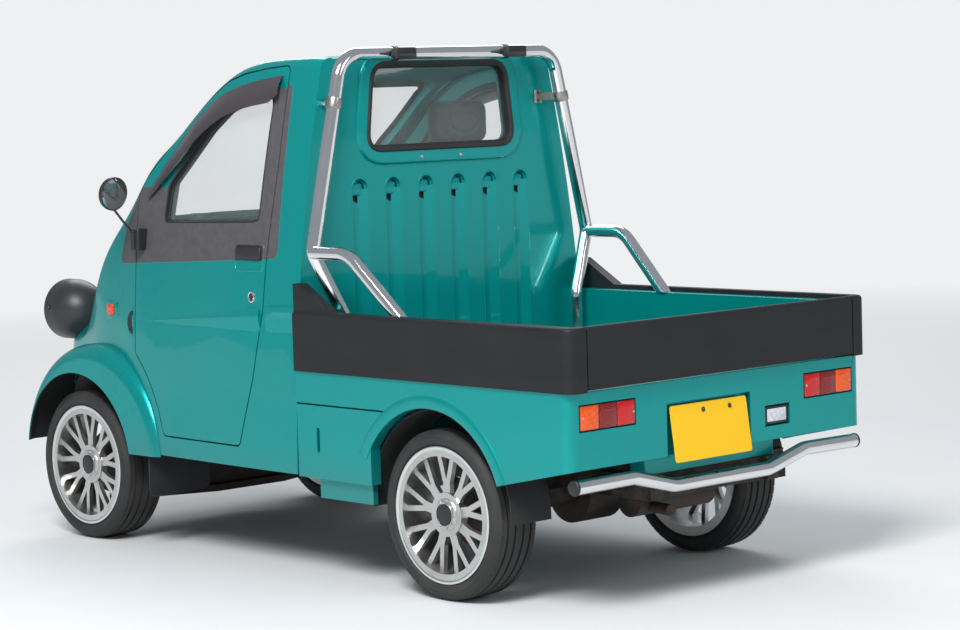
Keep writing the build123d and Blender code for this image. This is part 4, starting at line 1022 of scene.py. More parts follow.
# an open strip of a given profile (across, out) that follows a line on a node, tapered towards the line's end
# but never narrower than least, and kept from falling into a gap deeper than drop
def lineTrim(name, node, look, line, profile, material, taper=0.0, least=0.05, drop=0.006):
    rings = []
    for n, p in enumerate(line):
        run = (line[min(n + 1, len(line) - 1)] - line[max(n - 1, 0)]).normalized()
        out = Vector((run.y, -run.x))
        end = min(1.0, (len(line) - 1 - n) / (len(line) * taper)) if taper else 1.0
        width = max(end, least)
        depths = [surfaceAt(node, look, *(p + out * across * width)) for across, depth in profile]
        known = [d for d in depths if d is not None]
        if not known:
            continue
        ring = []
        for (across, depth), found in zip(profile, depths):
            base = found if found is not None and found > max(known) - drop else max(known)
            ring.append(spotOn(look, base + depth * end, *(p + out * across * width)))
        rings.append(ring)
    return ringPiece(name, rings, material)


# the smoked rain visor: a bent sheet from its top line on the door, narrow at its foot
def makeVisor(side, sign):
    q = doorFit
    node = f"door_{side}"
    look = (1, sign)
    probe = q["visorProbe"]
    rings, places, slopes = [], [], []
    line = roundedPath(q["visorTop"], *q["lineRound"])
    last = len(line) - 1
    for n, p in enumerate(line):
        run = (line[min(n + 1, last)] - line[max(n - 1, 0)]).normalized()
        down = Vector((run.y, -run.x))
        down = -down if down.y > 0 else down
        top, low = surfaceAt(node, look, *p), surfaceAt(node, look, *(p - down * probe))
        base = low if top is None else top
        base = places[-1][2] if base is None else base
        places.append((p, down, base))
        slopes.append(q["plainSlope"] if low is None else max(0.0, min(q["steepest"], (base - low) / probe)))
    count = q["visorPoints"]
    arc = [(k / count, math.sin(k / count * math.pi * q["visorBend"])) for k in range(count + 1)]
    for n, (p, down, base) in enumerate(places):
        # the slope and the depth are evened out over the neighbours
        near = slopes[max(0, n - 4):n + 5]
        slope = sum(near) / len(near)
        near = [spot[2] for spot in places[max(0, n - 2):n + 3]] if 2 <= n < last - 1 else [base]
        base = sum(near) / len(near)
        share = n / last
        end = min(1.0, q["visorFoot"] + q["visorGrow"] * share, q["visorEnd"] + q["visorClose"] * (1 - share))
        ring = []
        for inner in (0.0, -q["visorThick"]):
            for along, rise in (arc if inner == 0.0 else reversed(arc)):
                reach = q["visorDrop"] * along * end
                lift = q["visorOut"] * rise * end + q["visorLift"] + inner
                ring.append(spotOn(look, base + slope * reach + lift, *(p + down * reach)))
        rings.append(ring)
    place(ringPiece(side + "DoorVisor", rings, smoked, angle=50), node, "black_trim")


def doorFurniture(side, sign):
    q = doorFit
    node = f"door_{side}"
    look = (1, sign)
    makeVisor(side, sign)
    x0, x1 = q["handleX"]
    z0, z1 = q["handleZ"]
    y = surfaceAt(node, look, (x0 + x1) / 2, (z0 + z1) / 2)
    slope = surfaceAt(node, look, (x0 + x1) / 2, z0) - surfaceAt(node, look, (x0 + x1) / 2, z1)

    def lean(shape):
        for v in shape.verts:
            v.co.y -= sign * (v.co.z - (z0 + z1) / 2) / (z1 - z0) * slope

    def block(name, size, material):
        longer, taller, inner, outer, edge = size
        ya, yb = sorted((sign * (y + inner), sign * (y + outer)))
        return blockPiece(
            name, (x0 - longer, ya, z0 - taller), (x1 + longer, yb, z1 + taller), material, edge, 4, lean,
        )

    low = z0 - q["recessDrop"]
    high = z1 + q["recessUp"]
    left, right = x0 - q["recessWider"], x1 + q["recessWider"]
    edge = ((left, low), (right, low), (right, high), (left, high))
    edge = roundedPath(edge, q["recessCorner"], q["recessStep"])
    lip = outlineTrim(side + "HandleLip", node, look, edge, q["lip"], doorPaint)
    # a black block round the pull, painted shade standing in for the handle's dark scoop
    dark = block(side + "HandleShade", q["dark"], rubberSealAndShade)
    pull = block(side + "HandlePull", q["pull"], blackTrim)
    place(joinPieces(side + "DoorHandle", [lip, dark, pull]), node, "black_trim")
    keyY = surfaceAt(node, look, q["keyX"], q["keyZ"])
    parts = []
    for word, key, finish in (("LockRing", "keyRing", rimBright), ("LockCore", "keyCore", rubberSealAndShade)):
        outline = [(share * q["keyRadius"], sign * out) for share, out in q[key]]
        parts.append(lathePiece(side + word, outline, finish, (0, 0, 0), steps=40))
    lock = joinPieces(side + "DoorLock", parts)
    taller = Matrix.Scale(q["keyTall"], 4, Vector((0, 0, 1)))
    lock.data.transform(Matrix.Translation((q["keyX"], sign * keyY, q["keyZ"])) @ taller)
    place(lock, node, "black_trim")
    line = roundedPath(q["creaseLine"], *q["lineRound"])
    crease = lineTrim(side + "DoorCrease", node, look, line, q["crease"], doorPaint, q["creaseTaper"])
    place(crease, node, "body_paint")
    line = roundedPath(q["creaseRear"], *q["lineRound"])
    rear = lineTrim(side + "PillarCrease", "cab_shell", look, line, q["crease"], shellPaint)
    place(rear, "root", "body_paint")


for sideName, sign in sides:
    doorFurniture(sideName, sign)
print("door furniture made")


# mirrors
mirrorFit = dict(
    centre=(0.695, 0.690, 1.200), radius=0.056, turn=5, dip=-8,
    bulge=0.008, glassBack=-0.0085, glassShare=0.92, glassThick=0.001, glassSteps=8,
    footY=(0.552, 0.606), footZ=(1.006, 1.078), footLong=0.05, hingeX=0.026, hingeY=0.607, hingeZ=1.04,
    hingeRadius=0.0085, hingeHalf=0.032, stalkY=0.605, stalkZ=1.058, stalkEndX=0.012, collar=0.0065, rod=0.0042,
    collarShare=0.1, stalkSides=16,
    # the shell: (radius inside the mirror's, along)
    shell=((0.056, 0.030), (0.0336, 0.0285), (0.014, 0.021), (0.0028, 0.009), (0, 0), (0, -0.008),
           (0.003, -0.010), (0.0045, -0.008), (0.056, -0.008)),
)


def makeMirror(side, sign):
    q = mirrorFit
    node = f"mirror_{side}"
    r = q["radius"]
    shell = [(r - inside, along) for inside, along in q["shell"]]
    housing = lathePiece(side + "MirrorShell", shell, blackTrim, (0, 0, 0), "X", 48)
    shares = [n / q["glassSteps"] for n in range(q["glassSteps"] + 1)]
    glass = [(r * t * q["glassShare"], q["glassBack"] - q["bulge"] * (1 - t ** 2)) for t in shares]
    glass.append((0, q["glassBack"] + q["glassThick"]))
    face = lathePiece(side + "MirrorFace", glass, mirrorGlass, (0, 0, 0), "X", 48)
    head = joinPieces(side + "MirrorHead", [housing, face])
    centre = Vector((q["centre"][0], sign * q["centre"][1], q["centre"][2]))
    head.data.transform(
        Matrix.Translation(centre) @ Matrix.Rotation(math.radians(sign * q["turn"]), 4, "Z")
        @ Matrix.Rotation(math.radians(q["dip"]), 4, "Y")
    )
    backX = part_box(node)[0].x
    y0, y1 = sorted(sign * y for y in q["footY"])
    z0, z1 = q["footZ"]
    footX = backX + q["footLong"]
    foot = blockPiece(side + "MirrorFoot", (backX, y0, z0), (footX, y1, z1), blackTrim, 0.007, 4)
    half, radius = q["hingeHalf"], q["hingeRadius"]
    pin = [(0, -half), (radius, -half), (radius, half), (0, half)]
    hinge = lathePiece(side + "MirrorHinge", pin, blackTrim, (0, 0, 0), "X", 24)
    hinge.data.transform(
        Matrix.Translation((backX + q["hingeX"], sign * q["hingeY"], q["hingeZ"]))
        @ Matrix.Rotation(math.radians(90), 4, "Y")
    )
    start = Vector((backX + q["hingeX"], sign * q["stalkY"], q["stalkZ"]))
    end = centre + Vector((q["stalkEndX"], 0, -r * 0.72))
    along = (end - start).normalized()
    across = along.cross(Vector((1, 0, 0))).normalized()
    rise = along.cross(across)
    turns = [2 * math.pi * k / q["stalkSides"] for k in range(q["stalkSides"])]
    # a short collar, then the thinner rod
    step = q["collarShare"]
    rod = [
        [start.lerp(end, t) + (across * math.cos(a) + rise * math.sin(a)) * radius for a in turns]
        for t, radius in ((0, q["collar"]), (step, q["collar"]), (step, q["rod"]), (1.0, q["rod"]))
    ]
    stalk = ringPiece(side + "MirrorStalk", rod, boltDark)
    place(joinPieces(side + "Mirror", [head, foot, hinge, stalk]), f"door_{side}", "black_trim", node)


for sideName, sign in sides:
    makeMirror(sideName, sign)
print("mirrors made")


# lamps
tail = dict(
    y=(0.370, 0.591), z=(0.547, 0.616), third=0.33, gap=0.0012, rim=0.002, lensOut=0.0005, gasketBack=0.003,
    screwX=0.0008, screwIn=(0.008, 0.009), screwRadius=0.0042, screwTall=0.002,
)


# amber outer, red middle and red inner lens in a black gasket with two screws
def tailLamp(side, sign):
    q = tail
    low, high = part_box("tail_lamps")
    y0, y1 = q["y"]
    z0, z1 = q["z"]
    parts = []
    wide = (y1 - y0) * q["third"]
    cuts = (y0, y0 + wide, y0 + wide * 2, y1)
    for n, (a, b, finish) in enumerate(zip(cuts, cuts[1:], (redLens, redDeep, amberLens))):
        ya, yb = sorted((sign * (a + q["gap"]), sign * (b - q["gap"])))
        parts.append(blockPiece(f"lens{n}", (low.x + q["lensOut"], ya, z0), (high.x, yb, z1), finish, 0.004, 3))
    ya, yb = sorted((sign * (y0 - q["rim"]), sign * (y1 + q["rim"])))
    backX, rim = low.x + q["gasketBack"], q["rim"]
    parts.append(blockPiece("gasket", (backX, ya, z0 - rim), (high.x, yb, z1 + rim), rubberSealAndShade, 0.003, 2))
    place(joinPieces(side + "TailLamp", parts), "root", "lamp_glass", *(("tail_lamps",) if sign == 1 else ()))
    inner, outer = q["screwIn"]
    aim = Vector((-1, 0, 0))
    screws = [(Vector((low.x + q["screwX"], sign * y, (z0 + z1) / 2)), aim) for y in (y0 + inner, y1 - outer)]
    fasteners(side + "TailScrews", screws, q["screwRadius"], q["screwTall"], boltSteel, "root", "lamp_glass")


for sideName, sign in sides:
    tailLamp(sideName, sign)


reverseFit = dict(rim=(0.007, 0.006), out=0.0015, deep=0.012)


def reverseLamp():
    q = reverseFit
    low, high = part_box("reversing_lamp")
    case = blockPiece("reverseFrame", low, high, blackTrim, 0.004, 3)
    rimY, rimZ = q["rim"]
    near = (low.x - q["out"], low.y + rimY, low.z + rimZ)
    far = (low.x + q["deep"], high.y - rimY, high.z - rimZ)
    face = blockPiece("reverseLens", near, far, clearLens, 0.006, 4)
    place(joinPieces("reverseLamp", [case, face]), "root", "clear_lens", "reversing_lamp")


plateFit = dict(tilt=8, up=0.143, boltY=(-0.032, 0.083), out=0.0002, boltRadius=0.0075, boltTall=0.003)


def plateFittings():
    q = plateFit
    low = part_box("number_plate")[0]
    tilt = math.radians(q["tilt"])
    aim = Vector((-math.cos(tilt), 0, math.sin(tilt)))
    foot = Vector((low.x + q["out"], 0, low.z))
    along = Vector((math.sin(tilt), 0, math.cos(tilt))) * q["up"]
    spots = [(foot + along + Vector((0, y, 0)), aim) for y in q["boltY"]]
    fasteners("plateBolts", spots, q["boltRadius"], q["boltTall"], boltDark, "root", "plate_yellow")


reverseLamp()
plateFittings()


# a clear lens in a bright bezel in front of each bowl, and the bowl's own screw on its side
headFit = dict(
    # the lens as (share of its radius, along from its front), the bezel as (radius inside the lens's, along)
    lens=((0, 0.001), (0.3, 0.0005), (0.6, -0.002), (0.85, -0.0065)), edge=0.004, edgeX=-0.0115, back=-0.017,
    bezel=((0.008, -0.004), (0.002, -0.001), (0.0, -0.003), (0.0, -0.0175), (0.008, -0.0175)),
    screwBack=0.012, screwY=0.1062, screwZ=0.788, screwRadius=0.008, screwTall=0.003,
)


def headLamps():
    q = headFit
    low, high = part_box("headlamp_lenses")
    x, r = high.x, (high.z - low.z) / 2
    y, z = high.y - r, (high.z + low.z) / 2
    glass = [(r * share, x + along) for share, along in q["lens"]]
    glass += [(r - q["edge"], x + q["edgeX"]), (r - q["edge"], x + q["back"]), (0, x + q["back"])]
    bezel = [(r - inside, x + along) for inside, along in q["bezel"]]
    parts, screws = [], []
    for sign in (1, -1):
        parts.append(lathePiece("lampLens", glass, clearLens, (0, sign * y, z), "X", 64))
        parts.append(lathePiece("lampBezel", bezel, rimBright, (0, sign * y, z), "X", 64))
        spot = Vector((low.x - q["screwBack"], sign * (y + q["screwY"]), q["screwZ"]))
        screws.append((spot, Vector((0, sign, 0))))
    place(joinPieces("headLamps", parts), "root", "clear_lens", "headlamp_lenses")
    fasteners("bowlScrews", screws, q["screwRadius"], q["screwTall"], boltDark, "root", "cladding")


headLamps()


# the small red-orange lamp on a raised paint base behind each bowl: half width, half height, from where to
# where it stands out, and its edge
marker = dict(
    x=0.905, z=0.797, slopeReach=0.03, base=(0.036, 0.032, -0.006, 0.004, 0.009),
    lens=(0.023, 0.019, -0.002, 0.012, 0.006),
)


def markerLamps():
    q = marker
    x, z, reach = q["x"], q["z"], q["slopeReach"]
    for side, sign in sides:
        look = (1, sign)
        y = surfaceAt("cab_shell", look, x, z)
        slope = surfaceAt("cab_shell", look, x + reach, z) - surfaceAt("cab_shell", look, x - reach, z)
        slope /= 2 * reach

        def lean(shape, slope=slope, sign=sign):
            for v in shape.verts:
                v.co.y += sign * (v.co.x - x) * slope

        parts = []
        for name, size, finish in (("markerBase", q["base"], paint), ("markerLens", q["lens"], amberRed)):
            halfX, halfZ, inner, outer, edge = size
            ya, yb = sorted((sign * (y + inner), sign * (y + outer)))
            near, far = (x - halfX, ya, z - halfZ), (x + halfX, yb, z + halfZ)
            parts.append(blockPiece(name, near, far, finish, edge, 4, lean))
        place(joinPieces(side + "MarkerLamp", parts), "root", "lamp_glass")


markerLamps()

# the half-oval catch recess in front of each door's shut line, its inside a black sheet of painted shade
catch = dict(
    outline=((0.742, 0.812), (0.742, 0.714), (0.778, 0.732), (0.790, 0.763), (0.778, 0.794)), corner=0.02,
    lip=((0.0045, -0.0008), (0.003, 0.0022), (0.0005, 0.003), (-0.002, 0.002), (-0.003, -0.0008)),
    tab=((0.7435, 0.742), (0.7505, 0.786)), tabOut=0.0028, tabIn=0.004, fillOut=0.0012, fillIn=0.002,
    beyondEdge=0.5915, lipFar=0.008,
)


def catchRecess(side, sign):
    q = catch
    look = (1, sign)
    edge = roundedPath(q["outline"], q["corner"], 0.006)
    middle = sum(edge, Vector((0, 0))) / len(edge)
    rings = []
    for share, out in ((1.0, -q["fillIn"]), (1.0, q["fillOut"]), (0.5, q["fillOut"]), (0.02, q["fillOut"])):
        ring = []
        for p in edge:
            p = middle.lerp(p, share)
            depth = surfaceAt("cab_shell", look, *p) or q["beyondEdge"]
            ring.append(spotOn(look, depth + out, *p))
        rings.append(ring)
    # the black sheet stands in for the recess's shade: painted shade
    fill = ringPiece("catchShadeFill", rings, sealerAndShadeBlack)
    lip = outlineTrim("catchLip", "cab_shell", look, edge, q["lip"], paint, 0.0, q["lipFar"])
    y = surfaceAt("cab_shell", look, q["tab"][1][0], middle.y)
    low, high = sorted((sign * (y - q["tabIn"]), sign * (y + q["tabOut"])))
    (x0, z0), (x1, z1) = q["tab"]
    tab = blockPiece("catchTab", (x0, low, z0), (x1, high, z1), paint, 0.001, 2)
    place(joinPieces(side + "CatchRecess", [fill, lip, tab]), "root", "body_paint")


for sideName, sign in sides:
    catchRecess(sideName, sign)
print("lamps made")

# rear wall: sloped sides, hook tabs and black blocks of painted shade in the hook slots of the pressed channels
channel = dict(
    pitch=0.140, count=6, half=0.033, top=1.238, low=0.660, wallX=-0.1702, depth=0.0088,
    steep=0.003, gentle=0.034, crown=0.005, sideSteps=8, crownSteps=24,
    tab=(-0.014, 0.030), tabLow=1.184, tabHigh=1.222, tabFace=0.006, tabBack=0.014,
    slot=(-0.02, 0.031), slotLow=1.1605, slotHigh=1.188, slotFace=0.0185, slotBack=0.0205,
)


def wallChannels():
    q = channel
    parts = []
    half, wallX = q["half"], q["wallX"]
    centreZ = q["top"] - half
    heights = [q["low"] + (centreZ - q["low"]) * k / q["sideSteps"] for k in range(q["sideSteps"] + 1)]
    for n in range(q["count"]):
        middle = q["pitch"] * (n - (q["count"] - 1) / 2)
        # up one side, over the crown and down the other, with the outward direction at each point
        path = [(middle - half, z, -1.0, 0.0) for z in heights]
        for k in range(q["crownSteps"] + 1):
            turn = math.pi * (1 - k / q["crownSteps"])
            outY, outZ = math.cos(turn), math.sin(turn)
            path.append((middle + half * outY, centreZ + half * outZ, outY, outZ))
        path += [(middle + half, z, 1.0, 0.0) for z in reversed(heights)]
        rings = []
        for y, z, outY, outZ in path:
            slope = q["crown"] if outZ > 0 else (q["gentle"] if outY < 0 else q["steep"])
            section = (
                (0.0035, -0.0002), (0.001, -0.0012), (-0.0015, -0.0006), (-slope * 0.85, q["depth"] * 0.85),
                (-slope, q["depth"]), (-slope - 0.002, q["depth"] + 0.0012), (0.0035, q["depth"] + 0.0012),
            )
            rings.append([
                Vector((wallX + deep, y + across * outY, z + across * outZ)) for across, deep in section
            ])
        parts.append(ringPiece("channelSides", rings, paint, angle=50))
        # under each tab a black block stands in for the slot's shade: painted shade
        for name, word, finish, edge, steps in (
            ("hookTab", "tab", paint, 0.003, 3), ("hookSlotShade", "slot", sealerAndShadeBlack, 0.0005, 1),
        ):
            near = (wallX + q[word + "Face"], middle + q[word][0], q[word + "Low"])
            far = (wallX + q[word + "Back"], middle + q[word][1], q[word + "High"])
            parts.append(blockPiece(name, near, far, finish, edge, steps))
    place(joinPieces("rearWallChannels", parts), "root", "body_paint")


wallChannels()


# hoop fittings
hoop = dict(
    x=-0.228, top=1.62865, radius=0.02135, wallX=-0.1702,
    lampY=0.240, lampBack=0.002, lampHalf=(0.044, 0.019), faceHalf=(0.037, 0.013), faceDeep=0.006,
    taperFrom=0.02, taperY=0.72, taperZ=0.8, bandHalf=0.009,
    clampY=0.4933, clampZ=1.478, lean=(-0.069, 0.2946), plateIn=0.052, plateHalf=0.017, plateTall=1.3,
    plateThick=0.004, plateGap=0.0002, armHalf=0.012, armThick=0.0018, armX=0.004, armOut=0.003, armDeep=0.003,
    boltRadius=0.005, boltTall=0.0035, boltUp=0.0125, boltOut=0.0045,
    # outlines (outside the tube, along it)
    band=((0.0003, -1), (0.0022, -1), (0.0022, 1), (0.0003, 1)),
    clamp=((0.0003, -0.016), (0.0035, -0.016), (0.0042, -0.012), (0.0042, 0.012), (0.0035, 0.016),
           (0.0003, 0.016)),
)


def hoopLamps():
    q = hoop
    low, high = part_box("hoop_lamps")
    top = q["top"]
    parts = []
    for sign in (1, -1):
        y = sign * q["lampY"]

        def taper(shape, y=y):
            for v in shape.verts:
                if v.co.x > low.x + q["taperFrom"]:
                    v.co.y = y + (v.co.y - y) * q["taperY"]
                    v.co.z = top + (v.co.z - top) * q["taperZ"]

        for name, x0, x1, (wide, tall), finish, edge, steps, shaper in (
            ("lampBody", low.x + q["lampBack"], high.x, q["lampHalf"], blackTrim, 0.006, 4, taper),
            ("lampFace", low.x, low.x + q["faceDeep"], q["faceHalf"], darkLens, 0.003, 3, None),
        ):
            near, far = (x0, y - wide, top - tall), (x1, y + wide, top + tall)
            parts.append(blockPiece(name, near, far, finish, edge, steps, shaper))
        band = [(q["radius"] + out, y + along * q["bandHalf"]) for out, along in q["band"]]
        parts.append(lathePiece("lampBand", band, blackTrim, (q["x"], 0, top), "Y", 40))
    place(joinPieces("hoopLamps", parts), "root", "black_trim", "hoop_lamps")


def hoopClamps():
    q = hoop
    parts, bolts = [], []
    r, half, wallX = q["radius"], q["plateHalf"], q["wallX"]
    outline = [(r + out, along) for out, along in q["clamp"]]
    for sign in (1, -1):
        spot = Vector((q["x"], sign * q["clampY"], q["clampZ"]))
        along = Vector((0, sign * q["lean"][0], q["lean"][1])).normalized()
        turn = Vector((0, 0, 1)).rotation_difference(along).to_matrix().to_4x4()
        band = lathePiece("clampBand", outline, clampSteel, (0, 0, 0), "Y", 40)
        band.data.transform(Matrix.Translation(spot) @ turn @ Matrix.Rotation(math.radians(90), 4, "X"))
        parts.append(band)
        plateX, plateY = wallX - q["plateThick"], spot.y - sign * q["plateIn"]
        tall = half * q["plateTall"]
        near = (plateX, plateY - half, spot.z - tall)
        far = (wallX - q["plateGap"], plateY + half, spot.z + tall)
        parts.append(blockPiece("clampPlate", near, far, clampSteel, 0.0012, 2))
        # a flat arm from the band's inner side to the plate
        ends = (
            spot + Vector((q["armX"], -sign * (r + q["armOut"]), 0)),
            Vector((wallX - q["armDeep"], plateY + sign * half * 0.5, spot.z)),
        )
        corners = ((1, -1), (1, 1), (-1, 1), (-1, -1))
        arm = [
            [
                end + Vector((side * q["armThick"], -sign * side * q["armThick"] * 0.5, up * q["armHalf"]))
                for side, up in corners
            ]
            for end in ends
        ]
        parts.append(ringPiece("clampArm", arm, clampSteel))
        for up in (-q["boltUp"], q["boltUp"]):
            bolts.append((Vector((plateX, plateY, spot.z + up)), Vector((-1, 0, 0))))
        bolts.append((spot + Vector((0, -sign * (r + q["boltOut"]), 0)), Vector((0, -sign, 0))))
    place(joinPieces("hoopClamps", parts), "root", "chrome_tube")
    fasteners("hoopClampBolts", bolts, q["boltRadius"], q["boltTall"], boltDark, "root", "chrome_tube")


hoopLamps()
hoopClamps()


# bed: floor ribs, tube end caps and trims
def ribTree():
    vectors = [(label, "Vector") for label in ("start", "step", "size")]
    tree, add, link, given = openTree("ribRow", ("count", "Int"), *vectors)
    line, rib = add("GeometryNodeMeshLine"), add("GeometryNodeMeshCube")
    link(given["count"], line.inputs["Count"])
    link(given["start"], line.inputs["Start Location"])
    link(given["step"], line.inputs["Offset"])
    link(given["size"], rib.inputs["Size"])
    return closeTree(tree, given, spreadOver(tree, line.outputs[0], rib.outputs["Mesh"]))


ribRow = ribTree()
bed = dict(
    floorZ=0.615, frontX=-0.30, rearX=-1.32, ribs=9, pitch=0.105, ribWide=0.046, ribTall=0.012,
    edge=0.004, edgeSteps=3,
)


# pressed ribs along the bed's floor
def bedRibs():
    q = bed
    piece = toObject(bpy.data.meshes.new("bedRibs"), "bedRibs")
    middle = (q["frontX"] + q["rearX"]) / 2
    runTree(
        piece, ribRow, count=q["ribs"], start=(middle, -q["pitch"] * (q["ribs"] - 1) / 2, q["floorZ"]),
        step=(0, q["pitch"], 0), size=(q["frontX"] - q["rearX"], q["ribWide"], q["ribTall"]), finish=bedPaint,
    )
    rounding = piece.modifiers.new("rounding", "BEVEL")
    rounding.width = q["edge"]
    rounding.segments = q["edgeSteps"]
    applyModifiers(piece)
    smoothAt(piece.data, 40)
    place(piece, "root", "bed_paint")


bedRibs()

# black caps pushed into the bumper tube's ends, 43 mm wide: (radius, beyond the tube's end)
tubeEnd = dict(
    x=-1.363, y=0.614, z=0.388,
    cap=((0, 0.004), (0.0172, 0.0036), (0.020855, 0.0022), (0.0223, 0.0005), (0.0223, -0.006), (0, -0.006)),
)


def tubeCaps():
    parts = []
    q = tubeEnd
    for sign in (1, -1):
        cap = [(radius, sign * (q["y"] + beyond)) for radius, beyond in q["cap"]]
        parts.append(lathePiece("tubeCap", cap, blackTrim, (q["x"], 0, q["z"]), "Y", 40))
    place(joinPieces("bumperTubeCaps", parts), "root", "black_trim")


tubeCaps()


# a rolled bead round each rear wheel arch and a dark liner inside it
arch = dict(
    centre=(-0.783, 0.264),
    # radius, first turn, swing and steps of each sweep
    lipSweep=(0.314, 27, 133, 48), linerSweep=(0.304, -2, 184, 36),
    # outlines: (outside the radius, from the truck's middle)
    lip=((-0.0012, 0.6095), (-0.0012, 0.6415), (0.002, 0.6441), (0.008, 0.6451), (0.028, 0.6441),
         (0.034, 0.6429), (0.038, 0.6395), (0.038, 0.6375), (0.002, 0.6095)),
    liner=((0, 0.44), (0, 0.6), (0.004, 0.6), (0.004, 0.44)),
)


def archPiece(name, sweep, outline, sign, material):
    centreX, centreZ = arch["centre"]
    radius, first, swing, steps = sweep
    rings = []
    for n in range(steps + 1):
        turn = math.radians(first + n * swing / steps)
        across, up = math.cos(turn), math.sin(turn)
        rings.append([
            Vector((centreX + (radius + out) * across, sign * y, centreZ + (radius + out) * up))
            for out, y in outline
        ])
    return ringPiece(name, rings, material)


def archLip():
    for side, sign in sides:
        lip = archPiece(side + "ArchLip", arch["lipSweep"], arch["lip"], sign, paint)
        place(lip, "root", "body_paint")
        liner = archPiece(side + "ArchLiner", arch["linerSweep"], arch["liner"], sign, sealerAndShadeBlack)
        place(liner, "root", "black_trim")


archLip()
print("bed and hoop fittings made")


# seats: pads swelled by a short cloth run, then sewn channels
seat = dict(
    y=0.205, half=0.178, baseX=(0.052, 0.420), baseLow=0.632, baseHigh=0.722, baseCorner=0.034,
    backX=0.046, backThick=0.088, backLow=0.690, backCorner=0.036, tops=(1.278, 1.168), lean=9.0, leanZ=0.624,
    headX=-0.0267, headZ=1.402, headHalf=(0.036, 0.118, 0.070), headCorner=0.033, fill=0.7,
    voxel=0.009, pressure=4.0, cap=0.010, frames=18,
    # sewn lines: two along each pad at channelShare times the channel, and cross lines between them
    channel=0.062, channelShare=1.6, baseLines=(0.14, 0.22, 0.30), backLines=(0.82, 0.92, 1.02),
    seamDepth=0.006, seamWide=0.006, faceDepth=0.03, tooFar=0.05,
    pleats=30, pleatRing=0.8, pleatReach=0.3, pleatDepth=0.0017, ringSeam=0.52, ringWide=0.05, ringDepth=0.005,
    stemY=0.05, stemZ=(1.25, 1.36), stemRadius=0.006, stemSides=16,
)


# a rounded block as an even mesh
def padShape(name, low, high, corner):
    piece = blockPiece(name, low, high, seatVinyl, corner, 5)
    even = piece.modifiers.new("even", "REMESH")
    even.mode = "VOXEL"
    even.voxel_size = seat["voxel"]
    return applyModifiers(piece)


# air pressure on cloth for a few frames, with each point's travel held to a cap
def swell(piece):
    rest = [v.co.copy() for v in piece.data.vertices]
    fill = piece.modifiers.new("fill", "CLOTH")
    fill.settings.quality = 5
    fill.settings.mass = 0.3
    fill.settings.tension_stiffness = 12
    fill.settings.compression_stiffness = 12
    fill.settings.bending_stiffness = 0.6
    fill.settings.use_pressure = True
    fill.settings.uniform_pressure_force = seat["pressure"]
    fill.settings.effector_weights.gravity = 0
    fill.point_cache.frame_start = 1
    fill.point_cache.frame_end = seat["frames"]
    for step in range(1, seat["frames"] + 1):
        scene.frame_set(step)
    evaluated = piece.evaluated_get(bpy.context.evaluated_depsgraph_get())
    moved = [v.co.copy() for v in evaluated.data.vertices]
    piece.modifiers.clear()
    scene.frame_set(1)
    for vertex, start, end in zip(piece.data.vertices, rest, moved):
        travel = end - start
        if travel.length > seat["cap"]:
            travel *= seat["cap"] / travel.length
        vertex.co = start + travel


def smoother(piece):
    finer = piece.modifiers.new("finer", "SUBSURF")
    finer.levels = finer.render_levels = 1
    applyModifiers(piece)
    piece.data.shade_smooth()


# press sewn lines in: each is a function that gives a point's distance from its line
def press(piece, lines):
    mesh = piece.data
    normals = [v.normal.copy() for v in mesh.vertices]
    for vertex, normal in zip(mesh.vertices, normals):
        depth = 0.0
        for distance in lines:
            depth = max(depth, math.exp(-(distance(vertex.co) / seat["seamWide"]) ** 2))
        vertex.co -= normal * depth * seat["seamDepth"]


# the distance functions of one pad's sewn lines: along is the axis that the cross lines are measured on
def sewnLines(y, along, spots, isBack):
    q = seat
    reach = q["channel"] * q["channelShare"]

    def off(c, beyond=False):
        return q["tooFar"] if isBack(c) or beyond else 0

    lines = [lambda c, s=s: abs(c.y - y - s) + off(c) for s in (-reach, reach)]
    lines += [lambda c, s=s: abs(c[along] - s) + off(c, abs(c.y - y) > reach) for s in spots]
    return lines


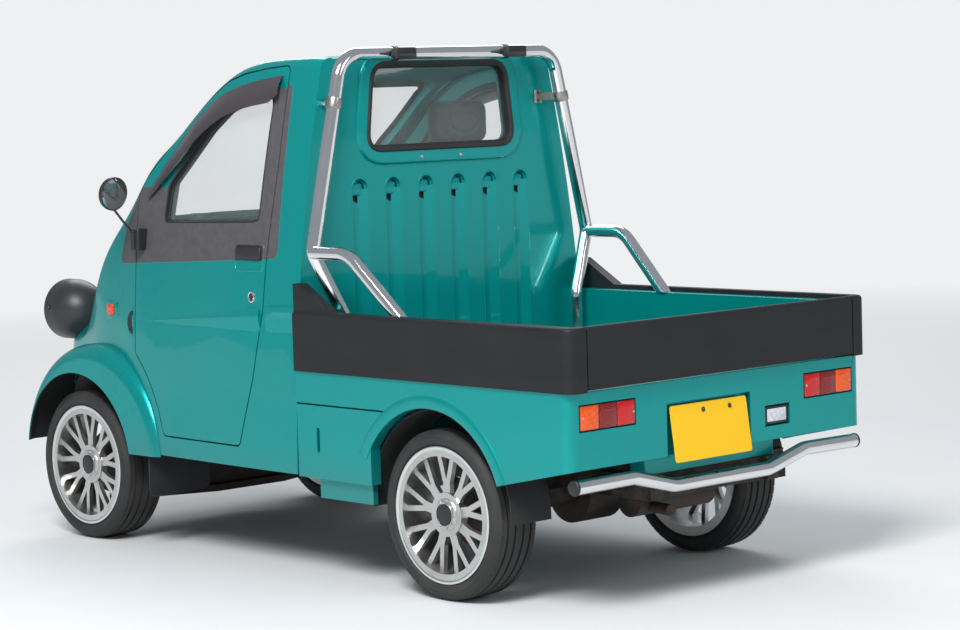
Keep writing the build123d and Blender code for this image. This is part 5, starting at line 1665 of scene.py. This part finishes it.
def headRest():
    q = seat
    hx, hy, hz = q["headHalf"]
    low = (q["headX"] - hx, -q["y"] - hy, q["headZ"] - hz)
    head = padShape("headRestPad", low, (q["headX"] + hx, -q["y"] + hy, q["headZ"] + hz), q["headCorner"])
    swell(head)
    smoother(head)
    normals = [v.normal.copy() for v in head.data.vertices]
    for vertex, normal in zip(head.data.vertices, normals):
        dy, dz = (vertex.co.y + q["y"]) / hy, (vertex.co.z - q["headZ"]) / hz
        ring = (dy * dy + dz * dz) ** 0.5
        near = max(0.0, 1 - abs(ring - q["pleatRing"]) / q["pleatReach"])
        pleat = near * math.cos(q["pleats"] * math.atan2(dz, dy)) * q["pleatDepth"]
        seam = math.exp(-((ring - q["ringSeam"]) / q["ringWide"]) ** 2) * q["ringDepth"]
        vertex.co += normal * abs(normal.x) * (pleat - seam)
    return head


def headStems():
    q = seat
    turns = [2 * math.pi * k / q["stemSides"] for k in range(q["stemSides"])]
    stems = []
    for y in (-q["y"] - q["stemY"], -q["y"] + q["stemY"]):
        flat = [(q["headX"] + q["stemRadius"] * math.cos(a), y + q["stemRadius"] * math.sin(a)) for a in turns]
        stems.append(ringPiece("headStem", [[Vector((*spot, z)) for spot in flat] for z in q["stemZ"]], chrome))
    place(joinPieces("headRestStems", stems), "root", "chrome_tube")


def makeSeats():
    q = seat
    half, backX = q["half"], q["backX"] + q["backThick"]
    lowZ, lowX = q["baseHigh"] - q["faceDepth"], backX - q["faceDepth"]
    shear = Matrix.Identity(4)
    shear[0][2] = -math.sin(math.radians(q["lean"]))
    foot = Vector((0, 0, q["leanZ"]))
    pads = []
    for y, top, word in ((-q["y"], q["tops"][0], "driver"), (q["y"], q["tops"][1], "passenger")):
        (x0, x1), y0, y1 = q["baseX"], y - half, y + half
        base = padShape(word + "SeatPad", (x0, y0, q["baseLow"]), (x1, y1, q["baseHigh"]), q["baseCorner"])
        swell(base)
        smoother(base)
        press(base, sewnLines(y, 0, q["baseLines"], lambda c: c.z < lowZ))
        back = padShape(word + "BackPad", (q["backX"], y0, q["backLow"]), (backX, y1, top), q["backCorner"])
        swell(back)
        smoother(back)
        press(back, sewnLines(y, 2, q["backLines"], lambda c: c.x < lowX))
        back.data.transform(Matrix.Translation(foot) @ shear @ Matrix.Translation(-foot))
        pads += [base, back]
    pads.append(headRest())
    headStems()
    for n, pad in enumerate(pads):
        place(pad, "root", "seat_cover", *(("seats",) if n == 0 else ()))


makeSeats()
print("seats made")
